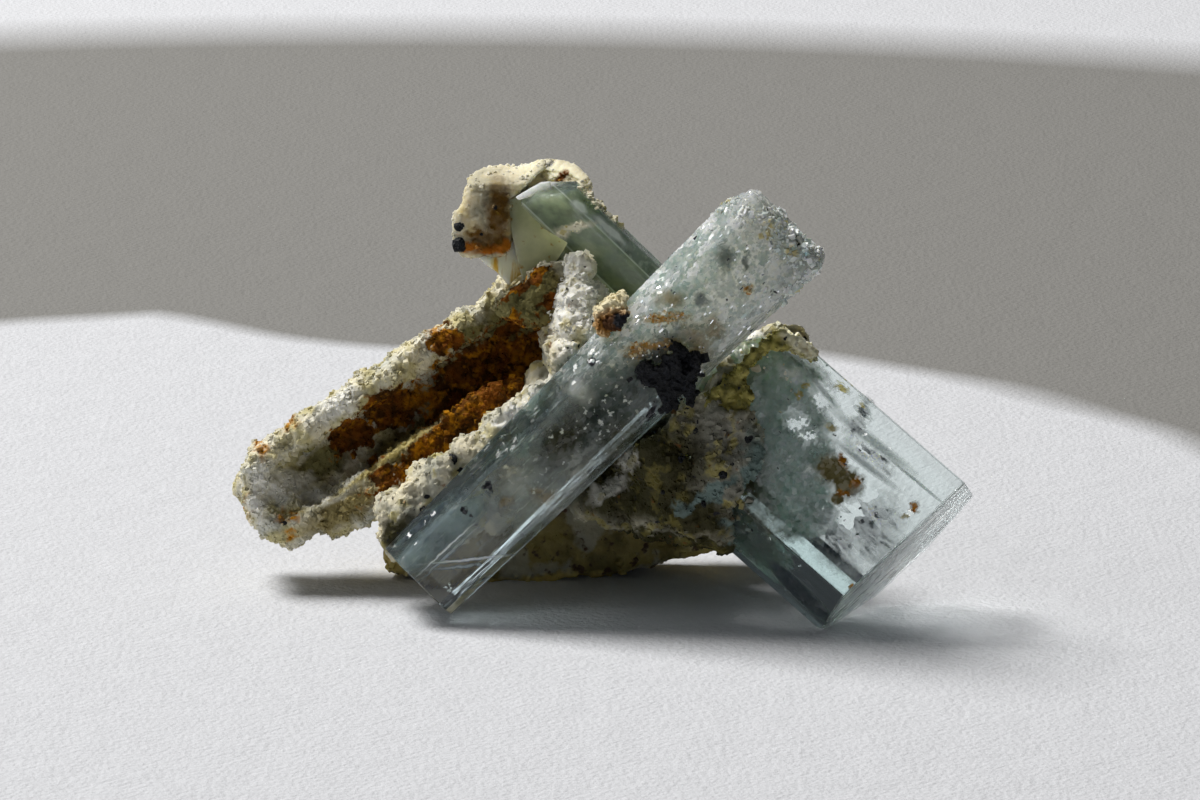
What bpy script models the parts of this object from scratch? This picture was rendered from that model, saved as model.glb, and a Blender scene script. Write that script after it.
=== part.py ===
"""Aquamarine crystal cluster, about 24 mm wide: three clear crystals held in crust, resting on three feet.

Lengths are in millimetres until the finished meshes are scaled to metres. Places are given on a board that
leans back: x to the right, h up the board and d into it. The viewer's side of the cluster is the board's front.
"""

import math

import bmesh
import bpy
from mathutils import Matrix, Vector, noise

MM = 0.001
GAP = 0.3
LEAN = math.radians(14.0)
BOARD_ORIGIN = Vector((0.04, 1.25, 6.45))

# Front crystal: long and slim, foot at the lower left, broken head at the upper right.
FRONT_FOOT = (-5.99, -6.15, -2.20)
FRONT_HEAD = (6.02, 5.61, -5.67)
FRONT_HALF_WIDTH = 1.95
FRONT_HALF_FACE = 1.33
FRONT_HALF_DEPTH = 1.08
FRONT_ROLL = math.radians(15.3)
FRONT_FOOT_SCALE = 0.82
FRONT_FOOT_EXTRA = 0.5

# Right crystal: thick, clear, with a flat end face that has one growth step.
RIGHT_TAIL = (2.98, 0.66, -1.17)
RIGHT_CAP = (9.74, -5.29, -3.03)
RIGHT_SECTION = (
    (-3.37, 0.33),
    (-2.04, 2.27),
    (2.60, 1.91),
    (3.40, 0.30),
    (1.95, -2.25),
    (0.60, -2.65),
    (-1.96, -1.75),
)
RIGHT_CAP_SKEW = 0.085
RIGHT_CAP_EXTRA = 0.6
RIGHT_STEP_HEIGHT = 0.22
RIGHT_STEP_SIDE = -0.35

# Upper left crystal and the paler twin grown against its lower left side.
UPPER_TAIL = (2.99, 2.16, -0.50)
UPPER_TIP = (-1.97, 6.91, -2.83)
UPPER_SECTION = ((-0.80, -0.30), (0.30, 1.00), (0.85, 0.90), (1.05, -0.20), (0.35, -1.15), (-0.60, -1.10))
UPPER_TIP_SLANT = math.radians(32.0)
TWIN_SECTION = ((-2.35, -0.75), (-1.75, -0.45), (-0.60, -0.40), (-0.30, -1.00), (-0.70, -1.60), (-2.00, -1.50))
TWIN_SETBACK = 1.0

# Cream crest that follows the front crystal's upper left edge: x, h, d, radius.
CREST = (
    (-0.7, 4.2, -3.5, 0.57),
    (-0.9, 3.3, -3.7, 0.70),
    (-0.7, 2.4, -3.8, 0.77),
    (-0.9, 1.6, -3.6, 0.77),
    (-1.1, 0.8, -3.4, 0.67),
    (-1.7, 0.1, -3.1, 0.57),
    (-2.6, -0.5, -2.8, 0.57),
    (-3.4, -1.1, -2.5, 0.57),
    (-4.1, -1.8, -2.3, 0.60),
    (-4.9, -2.5, -2.0, 0.70),
    (-5.7, -3.1, -1.6, 0.87),
    (-6.4, -3.8, -1.4, 0.97),
    (-6.5, -4.4, -1.3, 0.77),
)

# Lumps between and behind the crystals: x, h, d, radius.
HEART = (
    (1.3, 0.0, -0.7, 1.00),
    (0.3, 0.7, -0.9, 1.13),
    (0.0, -0.7, -0.3, 1.20),
    (-0.8, -1.3, 0.0, 1.00),
    (-1.8, -1.8, 0.3, 0.93),
    (-2.7, -2.3, 0.5, 0.87),
    (1.8, 1.0, 0.0, 0.87),
    (-1.3, -0.3, -0.5, 0.93),
    (0.9, -1.8, -2.2, 0.50),
    (0.4, -3.1, -1.9, 0.67),
    (-0.3, -3.4, -1.6, 0.53),
    (1.3, -2.6, -2.0, 0.87),
    (2.0, -3.3, -2.3, 0.93),
    (1.7, -3.7, -1.3, 0.87),
    (0.0, -2.7, -0.9, 1.00),
    (0.9, -3.3, -1.1, 0.95),
    (1.7, -3.5, -2.0, 1.00),
    (2.5, -3.8, -2.2, 0.85),
    (3.1, -4.2, -2.4, 0.68),
    (-3.5, -2.6, 0.1, 0.95),
    (-4.5, -3.1, -0.3, 0.95),
    (-5.3, -3.6, -0.6, 0.95),
    (0.9, 0.2, -2.1, 0.95),
    (0.2, -0.5, -1.9, 1.00),
    (1.7, 1.3, -2.6, 0.90),
    (-0.6, -1.1, -1.6, 0.90),
    (-1.7, -1.6, -1.3, 0.90),
    (0.2, 1.4, -2.4, 0.90),
)

# Lumps at the back that carry the arm, the plate and the upper left crystal: x, h, d, radius.
BACKING = (
    (0.5, 1.0, 0.9, 1.30),
    (-1.0, 0.2, 1.1, 1.25),
    (1.5, -0.5, 1.2, 1.40),
    (-0.5, -1.5, 1.4, 1.30),
    (-2.0, -2.1, 1.4, 1.10),
    (1.0, -2.5, 1.2, 1.30),
    (3.0, -2.8, 1.2, 1.05),
    (-3.4, -3.2, 1.4, 0.95),
    (-1.6, 0.3, 1.1, 0.95),
    (-1.0, 2.2, 0.6, 0.95),
    (-0.5, 3.2, -0.4, 0.80),
    (0.5, 2.4, 0.2, 0.95),
    (1.6, 1.6, 0.5, 1.00),
    (2.9, 1.9, 0.8, 1.00),
    (-0.7, 3.4, -2.6, 0.65),
    (-0.7, 2.5, -2.6, 0.85),
    (-0.8, 1.7, -2.4, 0.90),
    (-0.7, 1.8, -1.0, 0.90),
    (-1.8, -0.3, -1.6, 0.80),
    (-1.9, -0.3, -0.7, 0.75),
    (-2.6, -0.9, 0.3, 0.85),
    (-3.1, -1.2, -1.4, 0.80),
    (-4.2, -2.0, -1.1, 0.80),
    (-3.9, -2.1, 0.2, 0.85),
    (-5.4, -3.1, -0.5, 0.85),
    (-4.8, -3.1, 0.6, 0.85),
)

# Lumps that wrap the right crystal's near edge and the small shoulder above it: x, h, d, radius.
WRAP = (
    (1.8, -1.3, -3.0, 0.93),
    (2.8, -0.9, -3.6, 1.00),
    (3.7, -0.7, -3.6, 1.00),
    (4.4, -1.0, -3.7, 0.87),
    (4.7, -2.0, -3.9, 0.87),
    (4.5, -3.0, -3.7, 0.87),
    (3.8, -3.8, -3.3, 0.93),
    (3.0, -3.3, -3.3, 1.07),
    (2.3, -2.3, -3.2, 1.07),
    (3.7, -2.2, -3.9, 0.87),
    (3.9, -3.0, -3.9, 0.85),
    (4.0, -4.3, -2.7, 0.62),
    (3.0, -4.0, -2.2, 0.75),
    (2.0, -1.6, -3.4, 0.90),
    (1.3, -1.8, -2.9, 0.70),
    (4.2, 0.3, -3.5, 0.67),
    (4.5, 0.8, -3.6, 0.62),
    (4.8, 1.3, -3.7, 0.57),
    (5.3, 1.7, -3.5, 0.50),
    (5.7, 2.0, -3.3, 0.52),
    (6.1, 1.9, -3.0, 0.48),
    (6.5, 1.8, -2.7, 0.48),
    (7.2, 1.4, -2.5, 0.36),
)

# Stained arm, a trough open to the front. Each station: distance along the arm, height of the upper edge,
# upper edge of the lower ledge, bottom of the arm, and how deep the trough is there.
ARM_LEFT_END = (-11.5, -3.33, 1.1)
ARM_RIGHT_END = (-1.33, 2.33, 1.6)
ARM_STATIONS = (
    (-0.30, 0.65, -0.75, -1.15, 0.00),
    (0.35, 1.25, -1.25, -1.85, 0.30),
    (1.30, 1.60, -1.30, -1.95, 0.95),
    (2.60, 1.75, -1.20, -2.10, 1.50),
    (4.00, 1.82, -1.05, -2.35, 1.85),
    (5.60, 1.92, -0.95, -2.35, 1.95),
    (7.20, 2.05, -0.85, -2.30, 1.95),
    (8.80, 2.12, -0.85, -2.20, 1.90),
    (10.40, 2.35, -0.85, -2.00, 1.60),
    (11.80, 2.60, -0.60, -1.80, 0.90),
)
ARM_FRONT = 0.90
ARM_BACK = -1.90
ARM_WALL = 0.85

# Crust behind the upper left crystal's tip: outline on the board, front and back of the slab.
HOOD_OUTLINE = (
    (-4.82, 5.25),
    (-4.89, 5.58),
    (-3.99, 7.48),
    (-3.22, 7.71),
    (-1.99, 7.91),
    (-1.43, 7.98),
    (-0.86, 7.71),
    (-0.43, 7.05),
    (-0.40, 6.32),
    (-1.33, 5.32),
    (-2.16, 4.59),
    (-2.53, 3.99),
    (-3.12, 4.25),
    (-3.72, 4.72),
    (-4.55, 4.92),
)
HOOD_FRONT = -2.2
HOOD_BACK = -0.1

# Slab under and behind the crystals, the third foot.
PLATE_OUTLINE = (
    (-7.43, -4.89),
    (-7.32, -5.81),
    (-5.06, -6.10),
    (-1.35, -6.10),
    (1.35, -5.67),
    (4.05, -4.96),
    (4.96, -4.05),
    (4.39, -1.35),
    (3.04, -0.51),
    (0.34, -0.34),
    (-2.03, -1.35),
    (-5.06, -3.38),
)
PLATE_FRONT = 2.1
PLATE_BACK = 4.3
PLATE_BED_HEIGHT = 0.0

# Knob with a dark core, and the black grains: x, h, d, radius.
KNOB = (
    (0.39, 2.67, -5.07, 0.50),
    (0.65, 3.06, -5.00, 0.40),
    (0.91, 2.47, -5.33, 0.37),
    (0.26, 2.15, -5.00, 0.33),
)
BLACK_GRAINS = (
    (1.78, 0.71, -5.80, 0.37),
    (2.27, 0.39, -5.80, 0.43),
    (2.72, 0.71, -5.80, 0.40),
    (2.33, 1.10, -5.87, 0.37),
    (3.05, 1.23, -5.73, 0.30),
    (1.49, 1.04, -5.87, 0.27),
    (2.53, 1.62, -5.90, 0.27),
    (2.21, -0.13, -5.60, 0.30),
    (2.92, 0.16, -5.60, 0.27),
)

# Crumbs of crust fused to the broken head: place along and across the head, radius.
HEAD_CRUMBS = (
    (-1.2, 0.4, 0.45),
    (-0.4, 0.7, 0.50),
    (0.5, 0.5, 0.52),
    (1.3, 0.1, 0.48),
    (0.1, -0.6, 0.50),
    (1.5, -0.5, 0.36),
)

MATRIX_TRIANGLES = 3900
ARM_TRIANGLES = 2200
HOOD_TRIANGLES = 700
PLATE_TRIANGLES = 700
KNOB_TRIANGLES = 320
GRAIN_TRIANGLES = 520


def board(x, h, d):
    """Point in space of a place on the leaning board."""
    up = Vector((0.0, math.sin(LEAN), math.cos(LEAN)))
    back = Vector((0.0, math.cos(LEAN), -math.sin(LEAN)))
    return BOARD_ORIGIN + Vector((x, 0.0, 0.0)) + up * h + back * d


FACING = board(0, 0, -1) - board(0, 0, 0)


def material(name, colour, roughness, transmission=0.0, ior=1.5):
    made = bpy.data.materials.new(name)
    made.use_nodes = True
    shader = made.node_tree.nodes["Principled BSDF"]
    shader.inputs["Base Color"].default_value = (*colour, 1.0)
    shader.inputs["Roughness"].default_value = roughness
    shader.inputs["Transmission Weight"].default_value = transmission
    shader.inputs["IOR"].default_value = ior
    return made


def temporary(bm):
    """Puts a mesh into the scene as a helper object."""
    mesh = bpy.data.meshes.new("helper")
    bm.to_mesh(mesh)
    made = bpy.data.objects.new("helper", mesh)
    bpy.context.scene.collection.objects.link(made)
    return made


def modified(bm, kind, **settings):
    """The mesh after one modifier."""
    helper = temporary(bm)
    modifier = helper.modifiers.new(kind, kind)
    for name, value in settings.items():
        setattr(modifier, name, value)
    result = bmesh.new()
    result.from_object(helper, bpy.context.evaluated_depsgraph_get())
    bpy.data.objects.remove(helper)
    return result


def combined(bm, other, operation):
    """Boolean of two meshes, keeping the largest piece that comes out."""
    cutter = temporary(other)
    result = modified(bm, "BOOLEAN", operation=operation, object=cutter, solver="EXACT")
    bpy.data.objects.remove(cutter)
    bmesh.ops.remove_doubles(result, verts=result.verts, dist=0.002)
    bmesh.ops.triangulate(result, faces=result.faces)
    keep_largest(result)
    return result


def keep_largest(bm):
    unseen = set(bm.verts)
    islands = []
    while unseen:
        stack = [unseen.pop()]
        island = list(stack)
        while stack:
            vert = stack.pop()
            for edge in vert.link_edges:
                other = edge.other_vert(vert)
                if other in unseen:
                    unseen.remove(other)
                    stack.append(other)
                    island.append(other)
        islands.append(island)
    islands.sort(key=len)
    for island in islands[:-1]:
        bmesh.ops.delete(bm, geom=island, context="VERTS")


def grown_section(section, grow):
    """The convex outline with each side moved out by grow."""
    area = sum(a[0] * b[1] - b[0] * a[1] for a, b in zip(section, section[1:] + section[:1]))
    points = section if area > 0 else section[::-1]
    moved = []
    for before, here, after in zip(points[-1:] + points[:-1], points, points[1:] + points[:1]):
        first = Vector((here[1] - before[1], before[0] - here[0])).normalized()
        second = Vector((after[1] - here[1], here[0] - after[0])).normalized()
        moved.append(Vector(here) + (first + second) * (grow / (1.0 + first.dot(second))))
    return moved


def crystal_frame(foot, head):
    """Foot, axis, direction across and direction to the front of a crystal, and its length."""
    start = board(*foot)
    axis = board(*head) - start
    length = axis.length
    axis.normalize()
    front = (FACING - axis * FACING.dot(axis)).normalized()
    across = axis.cross(front)
    if across.x < 0:
        across.negate()
    return start, axis, across, front, length


def prism(foot, head, section, foot_scale=1.0, grow=0.0):
    """Straight crystal between two places, with the section given as (across, to the front)."""
    start, axis, across, front, length = crystal_frame(foot, head)
    bm = bmesh.new()
    ends = []
    for along, scale in ((-grow, foot_scale), (length + grow, 1.0)):
        outline = grown_section(section, grow / scale)
        centre = start + axis * along
        ends.append([bm.verts.new(centre + (across * p.x + front * p.y) * scale) for p in outline])
    for k in range(len(section)):
        n = (k + 1) % len(section)
        bm.faces.new((ends[0][k], ends[0][n], ends[1][n], ends[1][k]))
    bm.faces.new(ends[0])
    bm.faces.new(ends[1])
    bmesh.ops.recalc_face_normals(bm, faces=bm.faces)
    return bm


def clip(bm, point, normal):
    """Takes away what lies beyond a plane and closes the cut with one flat face."""
    geometry = bm.verts[:] + bm.edges[:] + bm.faces[:]
    cut = bmesh.ops.bisect_plane(bm, geom=geometry, plane_co=point, plane_no=normal, clear_outer=True)
    rim = [item for item in cut["geom_cut"] if isinstance(item, bmesh.types.BMEdge)]
    bmesh.ops.edgeloop_fill(bm, edges=rim)
    bmesh.ops.recalc_face_normals(bm, faces=bm.faces)


def seat(bm):
    """Moves a mesh straight up or down until its lowest point is on the floor."""
    lowest = min(vert.co.z for vert in bm.verts)
    bmesh.ops.translate(bm, verts=bm.verts, vec=(0.0, 0.0, -lowest))


def roughened(bm, depth, size, seed):
    """The mesh with its surface pushed in and out by layered noise."""
    bm.normal_update()
    offset = Vector((seed, -seed, 2.0 * seed))
    moves = []
    for vert in bm.verts:
        value = noise.fractal((vert.co + offset) / size, 0.8, 2.1, 4)
        moves.append(vert.normal * (depth * value))
    for vert, move in zip(bm.verts, moves):
        vert.co += move
    return bm


def solid_from(bm, voxel, depth, size, seed, triangles):
    """One rough closed body from a heap of overlapping shapes, down to a number of triangles."""
    body = roughened(modified(bm, "REMESH", mode="VOXEL", voxel_size=voxel), depth, size, seed)
    body = modified(body, "REMESH", mode="VOXEL", voxel_size=voxel)
    bmesh.ops.triangulate(body, faces=body.faces)
    keep_largest(body)
    body = modified(body, "DECIMATE", ratio=min(1.0, triangles / len(body.faces)))
    bmesh.ops.triangulate(body, faces=body.faces)
    return body


def swollen(bm, grow):
    """A slightly larger copy, for cutting clearance into a neighbour."""
    fine = modified(bm, "REMESH", mode="VOXEL", voxel_size=0.2)
    fine.normal_update()
    moves = [vert.normal * grow for vert in fine.verts]
    for vert, move in zip(fine.verts, moves):
        vert.co += move
    fine = modified(fine, "REMESH", mode="VOXEL", voxel_size=0.25)
    bmesh.ops.triangulate(fine, faces=fine.faces)
    return modified(fine, "DECIMATE", ratio=0.15)


def heap(places):
    """Overlapping balls at places on the board, each with a radius."""
    bm = bmesh.new()
    for x, h, d, radius in places:
        where = Matrix.Translation(board(x, h, d))
        bmesh.ops.create_icosphere(bm, subdivisions=2, radius=radius, matrix=where)
    return bm


def loft(rings):
    """Closed skin over rings of points that have the same number of points."""
    bm = bmesh.new()
    loops = [[bm.verts.new(point) for point in ring] for ring in rings]
    count = len(loops[0])
    for first, second in zip(loops, loops[1:]):
        for k in range(count):
            n = (k + 1) % count
            bm.faces.new((first[k], first[n], second[n], second[k]))
    for loop in (loops[0], loops[-1]):
        middle = bm.verts.new(sum((vert.co for vert in loop), Vector()) / count)
        for k in range(count):
            bm.faces.new((loop[k], loop[(k + 1) % count], middle))
    bmesh.ops.recalc_face_normals(bm, faces=bm.faces)
    return bm


def slab(outline, front, back, back_scale):
    """Flat slab on the board, its back a little smaller than its front."""
    middle_x = sum(x for x, h in outline) / len(outline)
    middle_h = sum(h for x, h in outline) / len(outline)
    far = [(middle_x + (x - middle_x) * back_scale, middle_h + (h - middle_h) * back_scale) for x, h in outline]
    return loft([[board(x, h, front) for x, h in outline], [board(x, h, back) for x, h in far]])


def node(name, bm, coating):
    """Scales a finished mesh to metres and puts it in the scene."""
    bmesh.ops.triangulate(bm, faces=bm.faces)
    bmesh.ops.recalc_face_normals(bm, faces=bm.faces)
    bmesh.ops.scale(bm, vec=(MM, MM, MM), verts=bm.verts)
    mesh = bpy.data.meshes.new(name)
    bm.to_mesh(mesh)
    mesh.materials.append(coating)
    bpy.context.scene.collection.objects.link(bpy.data.objects.new(name, mesh))


def front_section():
    w, f, d = FRONT_HALF_WIDTH, FRONT_HALF_FACE, FRONT_HALF_DEPTH
    corners = ((-w, 0.0), (-f, d), (f, d), (w, 0.0), (f, -d), (-f, -d))
    c, s = math.cos(FRONT_ROLL), math.sin(FRONT_ROLL)
    return tuple((x * c + y * s, -x * s + y * c) for x, y in corners)


def front_crystal():
    """Prism with trimmed corners at the broken head and crumbs of crust fused on."""
    start, axis, across, front, length = crystal_frame(FRONT_FOOT, FRONT_HEAD)
    head = start + axis * length
    beyond = Vector(FRONT_FOOT) - (Vector(FRONT_HEAD) - Vector(FRONT_FOOT)).normalized() * FRONT_FOOT_EXTRA
    bm = prism(beyond, FRONT_HEAD, front_section(), FRONT_FOOT_SCALE)
    clip(bm, start, FACING * FACING.dot(axis) - axis)
    for side, lean, trim in ((-1.0, 0.55, 0.6), (1.0, 0.45, 0.35)):
        edge = head + across * (side * (FRONT_HALF_WIDTH - trim))
        clip(bm, edge, axis * lean + across * side)
    clip(bm, head + front * (FRONT_HALF_DEPTH - 0.25), axis + front * 1.2)
    clip(bm, head - front * (FRONT_HALF_DEPTH - 0.35) - axis * 0.1, axis - front * 0.9)
    for side, out, radius in HEAD_CRUMBS:
        crumb = bmesh.new()
        where = Matrix.Translation(head + across * side + front * out - axis * radius * 0.7)
        bmesh.ops.create_icosphere(crumb, subdivisions=1, radius=radius, matrix=where)
        bm = combined(bm, roughened(crumb, 0.12, 0.4, side), "UNION")
    seat(bm)
    return bm


def right_crystal(front_cutter):
    """Thick prism whose end face has a growth step, cut clear of the front crystal."""
    start, axis, across, front, length = crystal_frame(RIGHT_TAIL, RIGHT_CAP)
    beyond = Vector(RIGHT_CAP) + (Vector(RIGHT_CAP) - Vector(RIGHT_TAIL)).normalized() * RIGHT_CAP_EXTRA
    bm = prism(RIGHT_TAIL, beyond, RIGHT_SECTION)
    clip(bm, start + axis * length, axis - across * RIGHT_CAP_SKEW)
    corner = start + axis * (length - RIGHT_STEP_HEIGHT) + across * RIGHT_STEP_SIDE
    step = bmesh.new()
    size = 4.0
    for k in range(8):
        far_out = axis * (size if k & 1 else 0.0)
        far_side = across * (-size if k & 2 else 0.0) * 1.3
        far_front = front * (-size if k & 4 else -0.2)
        step.verts.new(corner + far_out + far_side + far_front)
    bmesh.ops.convex_hull(step, input=step.verts)
    bmesh.ops.recalc_face_normals(step, faces=step.faces)
    bm = combined(bm, step, "DIFFERENCE")
    seat(bm)
    return combined(bm, front_cutter, "DIFFERENCE")


def twin_tip():
    """The twin stops short of the upper left crystal's own tip."""
    tail, tip = Vector(UPPER_TAIL), Vector(UPPER_TIP)
    return tuple(tip + (tail - tip).normalized() * TWIN_SETBACK)


def upper_left_crystal(front_cutter, right_cutter):
    """Prism with a slanted tip, its twin joined on, cut clear of the other two crystals."""
    bm = prism(UPPER_TAIL, UPPER_TIP, UPPER_SECTION)
    start, axis, across, front, length = crystal_frame(UPPER_TAIL, UPPER_TIP)
    slant = axis * math.cos(UPPER_TIP_SLANT) + across * math.sin(UPPER_TIP_SLANT)
    clip(bm, start + axis * (length - 0.10), slant)
    bm = combined(bm, prism(UPPER_TAIL, twin_tip(), TWIN_SECTION), "UNION")
    bm = combined(bm, front_cutter, "DIFFERENCE")
    return combined(bm, right_cutter, "DIFFERENCE")


def arm_rings():
    """Trough-shaped sections along the stained arm, from its left end to its right end."""
    left, right = board(*ARM_LEFT_END), board(*ARM_RIGHT_END)
    along = (right - left).normalized()
    front = (FACING - along * FACING.dot(along)).normalized()
    up = front.cross(along)
    if up.z < 0:
        up.negate()
    rings = []
    for distance, top, ledge, bottom, hollow in ARM_STATIONS:
        inner = top - ARM_WALL
        floor = ARM_FRONT - hollow
        shape = (
            (top, 0.30),
            (top - 0.25, ARM_FRONT),
            (inner, ARM_FRONT),
            (inner - 0.15, floor + 0.3 * hollow),
            (0.5 * (inner + ledge), floor),
            (ledge + 0.10, floor + 0.15 * hollow),
            (ledge, ARM_FRONT - 0.35 * hollow),
            (ledge - 0.10, ARM_FRONT),
            (bottom + 0.30, ARM_FRONT - 0.15),
            (bottom, 0.0),
            (bottom + 0.2, -1.10),
            (0.3 * bottom, ARM_BACK),
            (0.6 * top, ARM_BACK + 0.3),
            (top - 0.1, -0.80),
        )
        rings.append([left + along * distance + up * p + front * q for p, q in shape])
    return rings


def build():
    clear = prism(FRONT_FOOT, FRONT_HEAD, front_section(), FRONT_FOOT_SCALE, GAP)
    right_clear = prism(RIGHT_TAIL, RIGHT_CAP, RIGHT_SECTION, 1.0, GAP)
    upper_clear = prism(UPPER_TAIL, UPPER_TIP, UPPER_SECTION, 1.0, GAP)
    twin_clear = prism(UPPER_TAIL, twin_tip(), TWIN_SECTION, 1.0, GAP)

    front_body = front_crystal()
    right_body = right_crystal(clear)
    upper_body = upper_left_crystal(clear, right_clear)

    matrix_body = solid_from(heap(CREST + HEART + BACKING + WRAP), 0.17, 0.34, 0.9, 3.0, MATRIX_TRIANGLES)
    for cutter in (clear, right_clear, upper_clear, twin_clear):
        matrix_body = combined(matrix_body, cutter, "DIFFERENCE")

    matrix_clear = swollen(matrix_body, GAP)
    arm_body = solid_from(loft(arm_rings()), 0.17, 0.30, 0.8, 11.0, ARM_TRIANGLES)
    for cutter in (matrix_clear, clear, upper_clear, twin_clear):
        arm_body = combined(arm_body, cutter, "DIFFERENCE")

    arm_clear = swollen(arm_body, GAP)
    hood_body = solid_from(slab(HOOD_OUTLINE, HOOD_FRONT, HOOD_BACK, 0.8), 0.16, 0.25, 0.9, 5.0, HOOD_TRIANGLES)
    for cutter in (upper_clear, twin_clear, arm_clear, matrix_clear):
        hood_body = combined(hood_body, cutter, "DIFFERENCE")

    plate_body = solid_from(slab(PLATE_OUTLINE, PLATE_FRONT, PLATE_BACK, 0.9), 0.2, 0.22, 1.1, 8.0, PLATE_TRIANGLES)
    clip(plate_body, Vector((0.0, 0.0, PLATE_BED_HEIGHT)), Vector((0.0, 0.0, -1.0)))
    for cutter in (clear, right_clear, matrix_clear, arm_clear):
        plate_body = combined(plate_body, cutter, "DIFFERENCE")

    knob_body = solid_from(heap(KNOB), 0.09, 0.22, 0.35, 21.0, KNOB_TRIANGLES)
    for cutter in (clear, matrix_clear):
        knob_body = combined(knob_body, cutter, "DIFFERENCE")

    grains_body = solid_from(heap(BLACK_GRAINS), 0.08, 0.28, 0.30, 27.0, GRAIN_TRIANGLES)
    grains_body = combined(grains_body, clear, "DIFFERENCE")

    aquamarine = material("aquamarine", (0.62, 0.84, 0.82), 0.05, 1.0, 1.575)
    green_aquamarine = material("green_aquamarine", (0.50, 0.72, 0.62), 0.08, 0.9, 1.575)
    crust = material("crust", (0.62, 0.60, 0.52), 0.9)
    stained_crust = material("stained_crust", (0.45, 0.26, 0.10), 0.92)
    cream_crust = material("cream_crust", (0.66, 0.60, 0.46), 0.9)
    olive_plate = material("olive_plate", (0.34, 0.28, 0.12), 0.75)
    tourmaline = material("tourmaline", (0.02, 0.02, 0.025), 0.35)
    rust = material("rust", (0.42, 0.22, 0.07), 0.9)

    node("front_crystal", front_body, aquamarine)
    node("right_crystal", right_body, aquamarine)
    node("upper_left_crystal", upper_body, green_aquamarine)
    node("central_matrix", matrix_body, crust)
    node("stained_arm", arm_body, stained_crust)
    node("hood_crust", hood_body, cream_crust)
    node("back_plate", plate_body, olive_plate)
    node("black_tourmaline", grains_body, tourmaline)
    node("rust_knob", knob_body, rust)


for leftover in list(bpy.data.objects):
    bpy.data.objects.remove(leftover)
build()
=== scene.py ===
import math
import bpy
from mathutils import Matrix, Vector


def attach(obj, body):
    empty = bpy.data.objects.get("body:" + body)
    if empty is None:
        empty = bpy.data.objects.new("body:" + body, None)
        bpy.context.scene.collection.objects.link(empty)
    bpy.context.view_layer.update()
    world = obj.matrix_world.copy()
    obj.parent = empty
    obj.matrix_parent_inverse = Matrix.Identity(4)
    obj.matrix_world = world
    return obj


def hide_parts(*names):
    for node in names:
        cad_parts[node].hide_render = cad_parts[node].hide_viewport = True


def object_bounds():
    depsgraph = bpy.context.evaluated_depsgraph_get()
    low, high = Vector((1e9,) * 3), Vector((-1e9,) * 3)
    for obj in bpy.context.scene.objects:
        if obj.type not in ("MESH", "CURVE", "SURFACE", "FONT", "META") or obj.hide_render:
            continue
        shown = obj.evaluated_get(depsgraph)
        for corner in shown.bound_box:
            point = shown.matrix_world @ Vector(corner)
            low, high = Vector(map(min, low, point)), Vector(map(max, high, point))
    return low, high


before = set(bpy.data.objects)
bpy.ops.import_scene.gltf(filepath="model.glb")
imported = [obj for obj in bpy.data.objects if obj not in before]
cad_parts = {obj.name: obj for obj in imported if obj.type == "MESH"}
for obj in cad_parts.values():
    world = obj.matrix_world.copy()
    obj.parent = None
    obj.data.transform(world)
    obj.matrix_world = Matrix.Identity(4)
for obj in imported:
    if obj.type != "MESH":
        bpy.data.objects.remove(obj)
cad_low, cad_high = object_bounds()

from types import SimpleNamespace

import bmesh
import bpy
import numpy as np
from mathutils import Euler, Matrix, Vector, noise
from mathutils.bvhtree import BVHTree

# ---------------------------------------------------------------------------------------------
# Stage, light and camera.
# A pale felt pad lies on a flat floor that is painted grey beyond the pad, as painted shade for the
# felt far behind in shadow, with a white strip far behind it. One soft window behind and above the
# left shoulder of the cluster lights it, and a weak pale sky fills the shadows.

MM = 0.001
LEAN = math.radians(14.0)
AIM = Vector((0.043, 1.25, 6.45)) * MM
CAMERA_DISTANCE = 210.0 * MM
CAMERA_LENS = 189.0
PAD_CENTRE_X = -10.0
PAD_HALF_SIZES = (37.0, 41.5, 1.0)
PAD_WAVE = 0.125
PAD_DENT = (3.0, 39.0, 0.0)
PAD_DENT_REACH = (11.0, 3.0)
PAD_DENT_DEPTH = 0.17
PAD_EDGE = (0.975, 1.035)
STRIP_EDGE = (98.0, 107.0)
FELT_COLOUR = (0.7, 0.71, 0.74)
# Painted shade: grey for the felt far behind the pad, which lies in shadow.
FAR_SHADE_GREY = (0.255, 0.25, 0.238)
STRIP_COLOUR = (0.7, 0.71, 0.74)
FLOOR_HALF_SIZE = 1.5
SKY_COLOUR = (0.86, 0.93, 1.0, 1.0)
SKY_STRENGTH = 0.038


def new_finish(name):
    """A material whose tree is just its shader and its output, and the shader."""
    finish = bpy.data.materials.new(name)
    finish.use_nodes = True
    return finish, finish.node_tree.nodes["Principled BSDF"]


def wired(node, inputs):
    """The node, with its inputs linked to sockets or set to values."""
    for key, value in inputs.items():
        if isinstance(value, bpy.types.NodeSocket):
            node.id_data.links.new(value, node.inputs[key])
        else:
            node.inputs[key].default_value = value
    return node


def added(tree, kind, inputs=None, **settings):
    """A new node in the tree with its settings and its inputs."""
    node = tree.nodes.new(kind)
    for key, value in settings.items():
        setattr(node, key, value)
    return wired(node, inputs or {})


def mapped(coords, scale, shift):
    """The coordinates scaled along each axis, then shifted."""
    inputs = {"Vector": coords, "Scale": scale, "Location": shift}
    return added(coords.id_data, "ShaderNodeMapping", inputs).outputs["Vector"]


def noisy(coords, detail, distortion=0.0):
    """The outputs of a noise texture."""
    inputs = {"Vector": coords, "Scale": 1.0, "Detail": detail, "Distortion": distortion}
    return added(coords.id_data, "ShaderNodeTexNoise", inputs).outputs


def vectors(operation, *values):
    """The outputs of vector arithmetic that starts with a socket."""
    tree = values[0].id_data
    return added(tree, "ShaderNodeVectorMath", dict(enumerate(values)), operation=operation).outputs


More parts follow.
